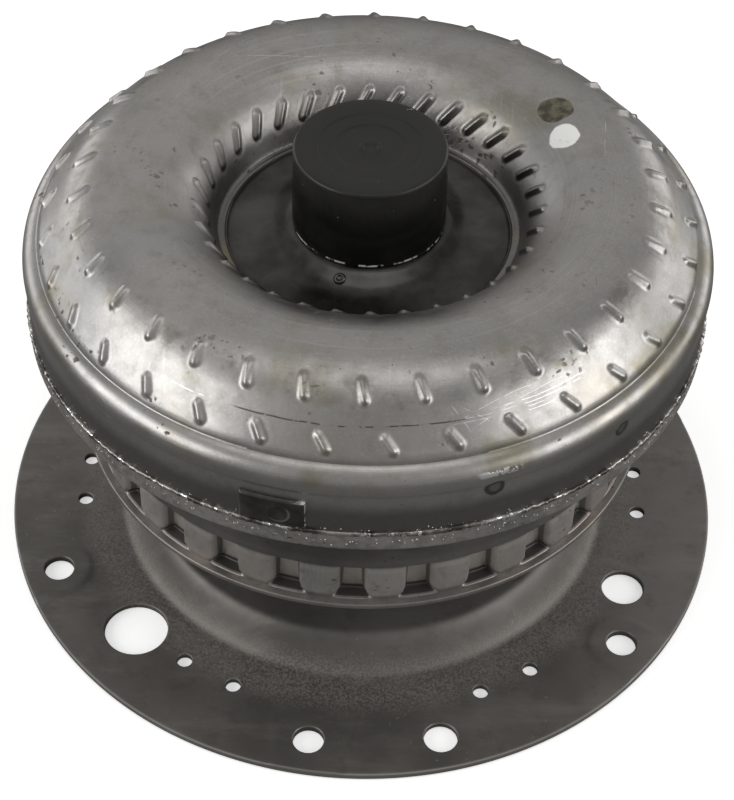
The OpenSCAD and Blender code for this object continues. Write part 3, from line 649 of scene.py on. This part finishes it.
def black_plastic():
    """Moulded cap: near black, glossy, with dust, a few bright nicks and painted glints along the bottom edge.
    """
    n = Nodes("black_plastic")
    _, _, height = n.polar()
    haze = n.noise(60.0, 4.0, 0.6)
    top = n.step(height, 201.0, 202.0)
    n.colour = n.mix(n.step(haze, 0.4, 0.8), (0.007, 0.007, 0.0065), (0.012, 0.012, 0.011))
    n.lay(n.mul(top, n.blend(n.step(haze, 0.3, 0.8), 0.5, 1.0)), (0.014, 0.0136, 0.0115))
    # Painted glints along the bottom edge, laid with the bright nicks
    rim = n.mul(n.band(height, CAP_LOW + 0.7, 0.35, 0.3), n.patches(190.0, 3.0, 0.5, 0.58, 0.7))
    nick_and_glint = n.most(n.specks(330.0, 2.0, 300.0, (0.1, 0.05), 50.0, (0.6, 0.68)), rim)
    n.lay(nick_and_glint, (0.7, 0.7, 0.68))
    rough = n.blend(top, n.vary(haze, 0.16, 0.26), n.vary(haze, 0.34, 0.46))
    relief = n.add(n.noise(240.0, 2.0, 0.6), n.mul(nick_and_glint, -2.0))
    return n.finish(rough, n.bump(relief, 0.03, 0.4), Specular_IOR_Level=0.42)


def weld_metal():
    """Weld bead: heat-tinted, rippled, with painted glints and bright spatter."""
    n = Nodes("weld_metal")
    film = n.noise(90.0, 4.0, 0.65)
    glint_noise = n.noise(420.0, 2.0, 0.6)
    n.colour = n.mix(n.step(film, 0.38, 0.62), (0.10, 0.09, 0.08), (0.46, 0.44, 0.41))
    # Painted glints: near-white, glossy specks over the bead
    n.lay(n.step(glint_noise, 0.56, 0.64), grey(0.95))
    _, _, height = n.polar()
    drops = n.most(n.step(height, 130.3, 129.9), n.step(height, 133.4, 133.8))
    n.lay(drops, grey(0.9))
    rough = n.blend(n.step(glint_noise, 0.5, 0.62), 0.4, 0.14)
    return n.finish(rough, n.bump(n.add(film, glint_noise), 0.2, 0.7), Metallic=n.blend(drops, 1.0, 0.15))


def friction_paper():
    n = Nodes("friction_paper")
    fibre = n.noise(520.0, 4.0, 0.75)
    stain = n.noise(25.0, 3.0)
    n.colour = n.mix(n.step(fibre, 0.35, 0.7), (0.16, 0.1, 0.05), (0.36, 0.25, 0.14))
    n.lay(n.step(stain, 0.45, 0.7), (0.1, 0.065, 0.035), 0.5)
    return n.finish(0.85, n.bump(fibre, 0.1, 0.7))


def seal_rubber():
    n = Nodes("seal_rubber")
    grain = n.noise(300.0, 3.0, 0.6)
    n.colour = n.mix(n.step(grain, 0.4, 0.7), (0.012, 0.012, 0.012), (0.03, 0.03, 0.03))
    return n.finish(n.blend(grain, 0.45, 0.65), n.bump(grain, 0.04, 0.6))


MATERIALS = {
    "bare_steel": shell_steel(),
    "dark_plate": plate_steel(),
    "oiled_steel": oiled_steel(),
    "black_plastic": black_plastic(),
    "weld_metal": weld_metal(),
    "friction_paper": friction_paper(),
    "seal_rubber": seal_rubber(),
    "pressed_steel": drum_steel(),
    "balance_steel": balance_steel(),
}
# Dark and light grey, smoothest and roughest, noise scale, warmth, turned lines and dark specks
for slot_name, numbers in {
        "machined_steel": (0.5, 0.6, 0.2, 0.3, 1.0, 0.02, 1.0, 0.15),
        "spring_steel": (0.26, 0.36, 0.25, 0.4, 2.0, 0.01, 0.5, 0.3),
        "black_oxide": (0.05, 0.09, 0.35, 0.5, 2.0, 0.0, 0.5, 0.3),
        "cast_aluminium": (0.6, 0.72, 0.42, 0.55, 1.5, 0.0, 0.1, 0.1),
        "bronze_washer": (0.42, 0.55, 0.25, 0.38, 2.0, 0.28, 0.5, 0.3)}.items():
    MATERIALS[slot_name] = plain_steel(slot_name, *numbers)


# ---- impeller shell

BUMP_COUNT = 34
PITCH = 360.0 / BUMP_COUNT


class BumpRow:
    """One ring of stamped bumps. twist leans each bump's outer end anticlockwise."""

    def __init__(self, radius, phase, length, width, height, twist, taper):
        self.radius, self.phase, self.length, self.taper = radius, phase, length, taper
        self.width, self.height, self.twist = width, height, radians(twist)
        self.s = 0.0

    def lift(self, angles, s, r):
        across = (angles - self.phase + PITCH / 2) % PITCH - PITCH / 2
        across = np.radians(across) * r[:, None]
        along = self.s - s[:, None]
        u = along * cos(self.twist) + across * sin(self.twist)
        v = across * cos(self.twist) - along * sin(self.twist)
        end = np.maximum(np.abs(u) - (self.length - self.width) / 2, 0.0)
        d = np.hypot(end, v) / (self.width / 2)
        swell = 1.0 - self.taper * smoothstep(-0.5, 0.5, -u / self.length)
        ridge = self.height * swell * (1.0 - smoothstep(0.08, 1.12, d))
        return ridge - 0.05 * self.height * np.exp(-((d - 1.3) / 0.25) ** 2)


BUMP_ROWS = [
    BumpRow(130.5, 9.39, 10.0, 4.3, 1.45, 33.0, 0.4),
    BumpRow(116.7, 5.07, 11.8, 4.7, 1.5, 11.0, 0.4),
    BumpRow(67.8, 7.9, 13.0, 4.2, 1.6, -31.0, 0.25),
]


def shell_outline():
    """The round section, a short cone, a bend, the rolled bead and the skirt down to the weld."""
    lean = radians(CONE_ANGLE)
    cone_z = TORUS_Z + SECTION_R * sin(lean)
    cone_z -= (CONE_END_R - TORUS_R - SECTION_R * cos(lean)) / tan(lean)
    inner_stop = 180.0 - degrees(asin((FLOOR_Z - TORUS_Z) / SECTION_R))
    bend = 10.0
    bend_r = BEND_R - bend * cos(lean)
    bend_z = cone_z + (CONE_END_R - BEND_R) / tan(lean) - bend * sin(lean)
    outline = [(SKIRT_R, WELD_Z), (SKIRT_R, 151.2), (SKIRT_R + 0.12, 152.0), (SKIRT_R + 0.55, 153.0)]
    outline += arc(BEAD_R - 8.2, 155.2, 8.2, -6, 76, 16)
    outline += arc(bend_r, bend_z, bend, 14, CONE_ANGLE, 8)
    outline += arc(TORUS_R, TORUS_Z, SECTION_R, CONE_ANGLE, inner_stop - 5, 120)
    return outline + [(61.6, FLOOR_Z + 0.35), (60.6, FLOOR_Z), (HUB_SEAT_R + 0.4, FLOOR_Z),
                      (HUB_SEAT_R, FLOOR_Z - 0.4)]


def impeller_shell():
    """Rows of points close up along the bumps and the bead, and columns close up on the bumps."""
    outline = shell_outline()
    at, s, normals = resample(outline, lambda t: np.full_like(t, 0.5))
    for row in BUMP_ROWS:
        side = (at[:, 0] > TORUS_R) if row.radius > TORUS_R else (at[:, 0] <= TORUS_R)
        row.s = s[np.argmin(np.abs(at[:, 0] - row.radius) + 1e3 * ~side)]

    def spacing(t):
        gap = np.full_like(t, 3.2)
        for row in BUMP_ROWS:
            gap = np.where(np.abs(t - row.s) < row.length / 2 + 1.2, 0.72, gap)
        gap = np.where((t > 18.5) & (t < 40.0), 0.6, gap)
        return np.where(t > s[-1] - 4.0, 0.6, gap)

    at, s, normals = resample(outline, spacing)
    knots, phases = [], []
    for row in BUMP_ROWS:
        half = row.length / 2 + 1.5
        lean = degrees(tan(row.twist) / row.radius)
        knots += [row.s - half, row.s + half]
        phases += [row.phase + half * lean, row.phase - half * lean]
    phase = np.interp(s, knots, phases)
    per_pitch = 21
    step = np.arange(per_pitch) / per_pitch
    crowded = step + 0.66 / (2 * pi) * np.sin(2 * pi * step) - 0.5
    local = (np.arange(BUMP_COUNT)[:, None] + crowded[None]).reshape(-1) * PITCH
    angles = phase[:, None] + local[None]
    lift = sum(row.lift(angles, s, at[:, 0]) for row in BUMP_ROWS)
    turn = np.radians(angles)
    wave = 0.10 * np.sin(3 * turn + 0.7) + 0.07 * np.sin(5 * turn + 2.1)
    lift = lift + wave * (smoothstep(6.0, 30.0, s) * smoothstep(s[-1] - 2.0, s[-1] - 20.0, s))[:, None]
    inner = SECTION_R - WALL
    under = FLOOR_Z - WALL
    inner_stop = 180.0 - degrees(asin((under - TORUS_Z) / inner))
    back = [(HUB_SEAT_R, under)] + arc(TORUS_R, TORUS_Z, inner, inner_stop, CONE_ANGLE, 10)
    back += [(134.0, 159.5), (SKIRT_R - WALL, 156.5), (SKIRT_R - WALL, WELD_Z)]
    piece = revolve("impeller_shell_pressing", at, normals, angles, lift, back, "bare_steel", 60)
    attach(piece, "housing")
    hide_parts("impeller_shell")


# ---- clutch drum

LOBES = 28
LOBE_PHASE = 275.0
LOBE_R = 119.0
VALLEY_R = 113.6
LOBE_TOP_Z = 87.1
FLANGE_R = 122.0
FLANGE_LOW = 63.5
FLANGE_TOP = 66.4
DRUM_RIM_R = 141.0
DRUM_RIM_Z = 131.0
COVE_WIDE, COVE_TALL = 21.6, 35.3


def drum_spacing(t):
    """Close rows at the lobes' foot and up the lobes, close ones at the rim, wide ones in the cove."""
    return np.where(t < 2.4, 0.24, np.where(t < 23.0, 0.62, np.where(t > 64.0, 0.7, 2.0)))


def clutch_drum():
    """Castellated wall under a dark cove. Lobes swell like barrels and the pockets slope at the foot."""
    rim = DRUM_RIM_R
    outline = [(VALLEY_R, FLANGE_TOP - 0.1), (VALLEY_R, 85.0)]
    outline += [(rim - 0.7 - COVE_WIDE * cos(t), LOBE_TOP_Z + 0.1 + COVE_TALL * sin(t))
                for t in np.linspace(0.0, pi / 2 - 0.04, 30)]
    outline += [(rim - 0.65, 122.9), (rim - 0.1, 123.3), (rim + 0.25, 124.0), (rim + 0.2, 129.2),
                (rim, DRUM_RIM_Z - 0.7), (rim, DRUM_RIM_Z)]
    at, s, normals = resample(outline, drum_spacing)
    lobe_zone = at[:, 1] < LOBE_TOP_Z
    normals[lobe_zone] = (1.0, 0.0)
    at[:, 0] = np.where(lobe_zone, VALLEY_R, at[:, 0])
    per_pitch = 26
    pitch = 360.0 / LOBES
    angles = LOBE_PHASE + np.arange(LOBES * per_pitch)[None] * pitch / per_pitch + np.zeros((len(s), 1))
    across = (angles - LOBE_PHASE + pitch / 2) % pitch - pitch / 2
    z = at[:, 1, None]
    half = pitch * 0.335
    depth = LOBE_R + 0.3 - VALLEY_R
    flare = -1.25 * smoothstep(73.5, 66.8, z) ** 1.6
    side = smoothstep(half + 0.5 + flare, half - 0.7 + flare, np.abs(across))
    sink = 0.1 * smoothstep(70.5, 66.8, z) ** 2
    barrel = 1.0 - 0.1 * (across / half) ** 4 - sink - 0.08 * smoothstep(82.0, 85.4, z)
    foot_z, foot_lift = zip((66.3, 5.2), (66.75, 4.9), (66.95, 3.9), (67.15, 3.4), (67.9, 0.3), (68.6, -0.1),
                            (84.6, 0.7))
    pocket = np.interp(z, foot_z, foot_lift) * (1.0 - side)
    shelf = depth * smoothstep(85.4, 86.6, z)
    lift = np.where(z < LOBE_TOP_Z, np.maximum(depth * side * barrel + pocket, shelf), 0.0)
    back = [(rim - WALL, DRUM_RIM_Z), (rim - WALL, 124.0), (129.0, 119.0), (119.5, 104.0),
            (116.4, 92.0), (116.4, 87.0), (111.0, 86.0), (111.0, FLANGE_TOP)]
    piece = revolve("clutch_drum_pressing", at, normals, angles, lift, back, "pressed_steel", 50)
    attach(piece, "housing")
    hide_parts("clutch_drum")


def front_cover():
    """The front disc, its wall and the flange the drum stands on."""
    outline = round_corners([
        (0.0, 26.0), (79.5, 26.0), (83.0, 29.5), (83.0, FLANGE_LOW), (FLANGE_R, FLANGE_LOW),
        (FLANGE_R, FLANGE_TOP), (79.0, FLANGE_TOP), (79.0, 29.0), (0.0, 29.0)],
        [0, 3, 3, 2.5, 1.5, 0.9, 1.5, 1.5, 0], 5)
    piece = lathe("front_cover_pressing", outline, "pressed_steel", 320)
    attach(piece, "housing")
    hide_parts("front_cover")


# ---- weld seam and spatter

def weld_seam():
    """A rippled bead round the joint, then spatter beads thrown just above and below it."""
    columns = 900
    turn = np.linspace(0, 2 * pi, columns, endpoint=False)
    ripple = 0.16 * np.sin(turn * 225 + 2.0 * np.sin(turn * 9)) + 0.12 * rng.standard_normal(columns)
    sway = 0.2 * np.sin(turn * 11) + 0.16 * np.sin(turn * 29 + 1.3) + 0.1 * rng.standard_normal(columns)
    shape = [(138.0, -0.5), (140.9, -0.6), (141.1, -0.9), (141.45, -0.5), (141.65, 0.1), (141.5, 0.8),
             (141.1, 1.3), (140.4, 1.2), (138.0, 0.1)]
    points = []
    for k, (r, z) in enumerate(shape):
        loose = 1.0 if 2 <= k <= 6 else 0.0
        points += ring_points(turn, r + loose * ripple * 0.8, WELD_Z - 0.1 + z + loose * sway)
    parts = [(points, grid_faces(len(shape), columns, True))]
    for _ in range(640):
        a = rng.uniform(0, 2 * pi)
        above = rng.random() < 0.4
        z = WELD_Z + (rng.uniform(0.9, 3.5) if above else rng.normal(-3.6, 1.0))
        size = rng.uniform(0.1, 0.34) if above else rng.uniform(0.14, 0.36)
        r = SKIRT_R + 0.02 if above else DRUM_RIM_R + 0.22
        parts.append(blob((r * cos(a), r * sin(a), z), (cos(a), sin(a), 0.0), size, 0.7))
    points, faces = join(parts)
    piece = mesh("weld_bead", points, faces, "weld_metal")
    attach(piece, "housing")
    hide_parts("weld_seam")


# ---- drive plate

PLATE_T = 3.0
PLATE_RISE = 15.0
RISE_OUTER_R, RISE_INNER_R = 111.3, 96.0
PLATE_BORE_R = 20.5
PAD_LIFT = 0.55
FLYWHEEL_HOLES = [(22.2 + 60 * k, 144.5, 6.5) for k in range(6)]
PAIR_HOLES = [(60 * k + side * 5.6, 127.3, 3.3) for k in range(6) for side in (-1, 1)]
ODD_HOLES = [(222.1, 130.0, 13.7), (284.2, 144.5, 7.1), (334.0, 130.1, 9.2)]
LUG_HOLES = [(60 * k, 58.0, 5.25) for k in range(6)]


def plate_level(r):
    """Height of the plate's underside: flat outside, then a soft rise to the middle."""
    t = np.clip((RISE_OUTER_R - r) / (RISE_OUTER_R - RISE_INNER_R), 0.0, 1.0)
    return PLATE_RISE * (1 - np.cos(pi * t)) / 2


def pad_lift(r, angles):
    """Soft pads pressed up round the flywheel bolt holes, each with a faint rim."""
    lift = np.zeros(len(angles))
    for angle, pitch_r, _ in FLYWHEEL_HOLES:
        turn = np.radians((angles - angle + 180) % 360 - 180)
        x, y = r * np.cos(turn) - pitch_r, r * np.sin(turn)
        reach = np.where(x > 0, np.abs(y), np.hypot(x, y))
        lift += PAD_LIFT * smoothstep(15.6, 13.6, reach) + 0.12 * np.exp(-((reach - 16.2) / 1.0) ** 2)
    return lift


def drive_plate():
    """The drive plate with its pads, drilled with broken edges. Its own edges are rounded too."""
    columns = 600
    edge = [PLATE_R - 0.6, PLATE_R - 0.15, PLATE_R]
    top_r = np.concatenate([[PLATE_BORE_R, PLATE_BORE_R + 0.4], np.linspace(30, 92, 8),
                            np.linspace(95, 113, 26), np.linspace(114.5, PLATE_R - 1.4, 34), edge])
    low_r = np.concatenate([edge[::-1], np.linspace(157, 114, 10), np.linspace(113, 95, 22),
                            np.linspace(90, 30, 6), [PLATE_BORE_R + 0.4, PLATE_BORE_R]])
    top_drops, low_rises = np.zeros(len(top_r)), np.zeros(len(low_r))
    top_drops[[0, -3, -2, -1]] = (0.4, 0.06, 0.3, 0.75)
    low_rises[[0, 1, 2, -1]] = (0.75, 0.3, 0.06, 0.4)
    angles = np.arange(columns) * 360.0 / columns
    turn = np.radians(angles)
    points = []
    for r, drop in zip(top_r, top_drops):
        pad = pad_lift(r, angles) * (0.6 if drop > 0.2 else 1.0) if r > 122.0 else 0.0
        points += ring_points(turn, r, plate_level(r) + PLATE_T - drop + pad)
    for r, rise in zip(low_r, low_rises):
        points += ring_points(turn, r, plate_level(r) + rise)
    faces = [f[::-1] for f in grid_faces(len(top_r) + len(low_r), columns, True)]
    piece = mesh("drive_plate", points, faces, "dark_plate")
    cutters = []
    for angle, pitch_r, r in FLYWHEEL_HOLES + PAIR_HOLES + ODD_HOLES + LUG_HOLES:
        base = PLATE_RISE if pitch_r < 90 else 0.0
        top = base + PLATE_T + (PAD_LIFT if (angle, pitch_r, r) in FLYWHEEL_HOLES else 0.0)
        chamfer = 0.45 if r > 5 else 0.3
        wide = r + chamfer + 2.0
        outline = [(0.0, base - 2.0), (wide, base - 2.0), (r, base + chamfer), (r, top - chamfer),
                   (wide, top + 2.0), (0.0, top + 2.0)]
        cutter = lathe("cutter", outline, "dark_plate", 56 if r > 5 else 36)
        x, y, _ = polar_point(angle, pitch_r, 0.0)
        cutter.location = (x * MM, y * MM, 0.0)
        cutters.append(cutter)
    drill(piece, cutters, 24.0)
    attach(piece, "housing")
    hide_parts("flexplate")


# ---- hub, cap and balance weight

TUBE_R = 28.0
TUBE_BORE_R = 21.5
TUBE_TOP = 199.0


def impeller_hub():
    """The welded disc, its fillet and the pump tube, with drive slots cut in the end."""
    outline = [(TUBE_BORE_R, 157.5), (57.6, 157.5), (57.9, 158.0), (57.9, FLOOR_Z - 0.35),
               (57.0, FLOOR_Z + 0.05), (55.8, FLOOR_Z), (52.0, FLOOR_Z - 0.1), (46.0, FLOOR_Z + 0.05)]
    outline += [(43.6, 161.25), (41.5, 161.65), (39.9, 162.1), (38.5, 162.65), (37.1, 163.35), (35.8, 164.1),
                (34.7, 164.8), (33.6, 165.4), (32.6, 165.8), (31.5, 166.0), (TUBE_R + 0.5, 166.1),
                (TUBE_R, 166.6)]
    outline += [(TUBE_R, TUBE_TOP - 1.0), (TUBE_R - 1.0, TUBE_TOP), (TUBE_BORE_R + 0.6, TUBE_TOP),
                (TUBE_BORE_R, TUBE_TOP - 0.6)]
    piece = lathe("pump_hub", outline, "oiled_steel", 320, 30)
    corners = ((-32, -5), (32, -5), (32, 5), (-32, 5))
    slot = mesh("slot", [(x, y, z) for z in (190.0, 202.0) for x, y in corners],
                [(0, 3, 2, 1), (4, 5, 6, 7), (0, 1, 5, 4), (1, 2, 6, 5), (2, 3, 7, 6), (3, 0, 4, 7)],
                "oiled_steel", False)
    drill(piece, [slot], 30.0)
    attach(piece, "housing")
    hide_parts("impeller_hub")


def hub_weld():
    """The rippled bead between the hub's disc and the shell."""
    columns = 420
    turn = np.linspace(0, 2 * pi, columns, endpoint=False)
    ripple = 0.07 * np.sin(turn * 150) + 0.05 * rng.standard_normal(columns)
    points = []
    shape = ((57.7, 158.6, 0), (57.7, 160.5, 0.3), (58.3, 160.95, 1), (58.9, 160.7, 0.3), (58.9, 158.6, 0))
    for r, z, loose in shape:
        points += ring_points(turn, r, z + loose * ripple)
    faces = [f[::-1] for f in grid_faces(len(shape), columns, True)]
    piece = mesh("hub_weld_bead", points, faces, "oiled_steel")
    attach(piece, "housing")
    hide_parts("hub_weld")


def hub_pip():
    """A small raised ring on the hub's fillet."""
    outline = [(0.0, 0.1), (0.9, 0.1), (1.3, 0.75), (2.0, 0.75), (2.6, 0.0), (2.7, -0.8), (0.0, -0.8)]
    outline = round_corners(outline, [0, 0.3, 0.2, 0.3, 0.3, 0, 0], 3)
    piece = lathe("hub_pip", outline, "oiled_steel", 40)
    tilt = Matrix.Rotation(radians(252.6), 4, "Z") @ Matrix.Rotation(radians(24.0), 4, "Y")
    x, y, z = polar_point(252.6, 36.8, 163.7)
    piece.data.transform(Matrix.Translation((x * MM, y * MM, z * MM)) @ tilt)
    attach(piece, "housing")


def protective_cap():
    """The moulded cup, with a rolled top edge, shallow rings, a gate mark and pips below the rim."""
    r = CAP_R
    outer = [(r - 0.25, CAP_LOW), (r, CAP_LOW + 0.3), (r - 0.4, CAP_TOP - 1.5)]
    outer += arc(r - 2.0, CAP_TOP - 1.5, 1.55, 5, 88, 7)
    steps = ((0.86, 0.02), (0.68, 0.05), (0.66, 0.4), (0.47, 0.45), (0.44, 0.85), (0.15, 0.9), (0.13, 0.5),
             (0.095, 0.45), (0.075, 1.0), (0.0, 1.05))
    top = round_corners([(share * r, CAP_TOP - down) for share, down in steps],
                        [0, 0.5, 0.5, 0.6, 0.6, 0.3, 0.25, 0.25, 0.3, 0], 3)
    inner = [(0.0, TUBE_TOP + 0.5), (TUBE_R, TUBE_TOP + 0.5), (TUBE_R + 0.7, TUBE_TOP - 0.2),
             (TUBE_R + 0.7, CAP_LOW + 0.4), (TUBE_R + 1.0, CAP_LOW)]
    piece = lathe("cap_moulding", outer + top + inner, "black_plastic", 288, 26)
    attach(piece, "cap")
    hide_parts("protective_cap")
    parts = []
    for k in range(17):
        a = radians(360.0 / 17 * k + 6.0)
        for lean in (-0.011, 0.011):
            at = ((r - 0.36) * cos(a + lean), (r - 0.36) * sin(a + lean), CAP_TOP - 6.3)
            parts.append(blob(at, (cos(a), sin(a), 0.0), 0.27, 0.8))
    points, faces = join(parts)
    pips = mesh("cap_pips", points, faces, "black_plastic")
    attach(pips, "cap")


def balance_weight():
    """A curved plate on the skirt, with soft edges and a spot-weld dimple. The back grid follows the front."""
    width, low, high, thick = 25.6, 133.6, 147.3, 1.7
    columns, rows = 54, 30
    half_angle = degrees(width / 2 / SKIRT_R)
    half_tall = (high - low) / 2
    front, back = [], []
    for v in np.linspace(-1, 1, rows):
        for u in np.linspace(-1, 1, columns):
            edge = 1.0 - max(abs(u) ** 30, abs(v) ** 20)
            d = hypot(u * width / 2 - 2.8, v * half_tall + 0.3)
            dimple = 0.75 * exp(-(d / 2.6) ** 4) - 0.3 * exp(-((d - 3.9) / 0.6) ** 2)
            lift = 0.25 + (thick - 0.25) * edge - dimple * edge
            for grid, r in ((front, SKIRT_R + lift), (back, SKIRT_R + 0.02)):
                grid.append(polar_point(WEIGHT_ANGLE + half_angle * u, r, (low + high) / 2 + v * half_tall))
    points = front + back
    base = len(front)
    faces = []
    for a in range(base - columns):
        if (a + 1) % columns:
            b = a + columns
            faces += [(a, a + 1, b + 1, b), (base + b, base + b + 1, base + a + 1, base + a)]
    for low_edge in range(columns - 1):
        top = base - columns + low_edge
        faces += [(base + low_edge, base + low_edge + 1, low_edge + 1, low_edge),
                  (top, top + 1, base + top + 1, base + top)]
    for left in range(0, base - columns, columns):
        right = left + columns - 1
        faces += [(left, left + columns, base + left + columns, base + left),
                  (base + right, base + right + columns, right + columns, right)]
    piece = mesh("balance_plate", points, faces, "balance_steel")
    piece.data.set_sharp_from_angle(angle=radians(55))
    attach(piece, "housing")
    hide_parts("balance_weight")


# ---- CAD nodes and stage

def camera_only(tree, pale, plain, out):
    """Shows the pale shader to the camera and the plain one to every other ray."""
    seen = tree.nodes.new("ShaderNodeLightPath")
    choice = tree.nodes.new("ShaderNodeMixShader")
    for source, socket in ((seen.outputs["Is Camera Ray"], choice.inputs["Fac"]), (plain, choice.inputs[1]),
                           (pale, choice.inputs[2]), (choice.outputs["Shader"], out)):
        tree.links.new(source, socket)


def dress_cad_nodes():
    """Every CAD node takes the procedural material of its slot."""
    slots = {entry["node"]: entry["material_slot"] for entry in frame["record"]["subparts"]}
    for name, node in frame["nodes"].items():
        material = MATERIALS[slots[name]]
        for slot in node.material_slots:
            slot.material = material
        if not node.material_slots:
            node.data.materials.append(material)


FLOOR_REACH = 4000.0


def make_stage():
    """A pale floor. Only the camera sees it pale, so the metal keeps its dark underside."""
    n = Nodes("pale_floor")
    n.set(Base_Color=(0.9, 0.9, 0.9), Roughness=0.9, Emission_Color=(1.0, 1.0, 1.0), Emission_Strength=0.5)
    dark = n.node("BsdfDiffuse", Color=(0.22, 0.22, 0.215))
    camera_only(n.tree, n.shader.outputs["BSDF"], dark.outputs["BSDF"], n.out.inputs["Surface"])
    corners = [(x * FLOOR_REACH, y * FLOOR_REACH, -0.3) for x, y in ((-1, -1), (1, -1), (1, 1), (-1, 1))]
    MATERIALS["pale_floor"] = n.material
    floor = mesh("floor", corners, [(0, 1, 2, 3)], "pale_floor", False)


def soft_box(name, at, width, tall, radiance):
    """A flat light aimed at the object. Sizes are in metres."""
    data = bpy.data.lights.new(name, "AREA")
    data.shape, data.size, data.size_y = "RECTANGLE", width, tall
    data.energy = radiance * pi * width * tall
    light = bpy.data.objects.new(name, data)
    light.location = at
    light.rotation_euler = (Vector((0.0, 0.0, 0.12)) - Vector(at)).to_track_quat("-Z", "Y").to_euler()
    bpy.context.collection.objects.link(light)


def make_light():
    """A studio of six soft boxes and a faint fill."""
    world = bpy.data.worlds.new("studio")
    world.use_nodes = True
    tree = world.node_tree
    fill = tree.nodes["Background"]
    fill.inputs["Color"].default_value = (1.0, 0.99, 0.97, 1.0)
    fill.inputs["Strength"].default_value = 0.33
    backdrop = tree.nodes.new("ShaderNodeBackground")
    backdrop.inputs["Color"].default_value = (0.93, 0.93, 0.93, 1.0)
    camera_only(tree, backdrop.outputs["Background"], fill.outputs["Background"],
                tree.nodes["World Output"].inputs["Surface"])
    bpy.context.scene.world = world
    soft_box("top_back_box", (0.0, 1.1, 1.25), 2.2, 1.3, 0.18)
    soft_box("overhead_box", (0.0, -0.2, 1.6), 1.4, 0.5, 1.2)
    soft_box("left_box", (-1.32, -0.46, 0.76), 1.45, 0.78, 2.6)
    soft_box("right_box", (1.30, -0.46, 0.70), 1.3, 0.72, 2.6)
    soft_box("left_back_box", (-1.3, 0.95, 0.30), 1.3, 0.6, 1.4)
    soft_box("right_back_box", (1.3, 0.95, 0.30), 1.3, 0.6, 1.5)
    bpy.context.scene.view_settings.view_transform = "Standard"


make_camera()
dress_cad_nodes()
drive_plate()
front_cover()
clutch_drum()
weld_seam()
impeller_shell()
impeller_hub()
hub_weld()
hub_pip()
protective_cap()
balance_weight()
make_stage()
make_light()
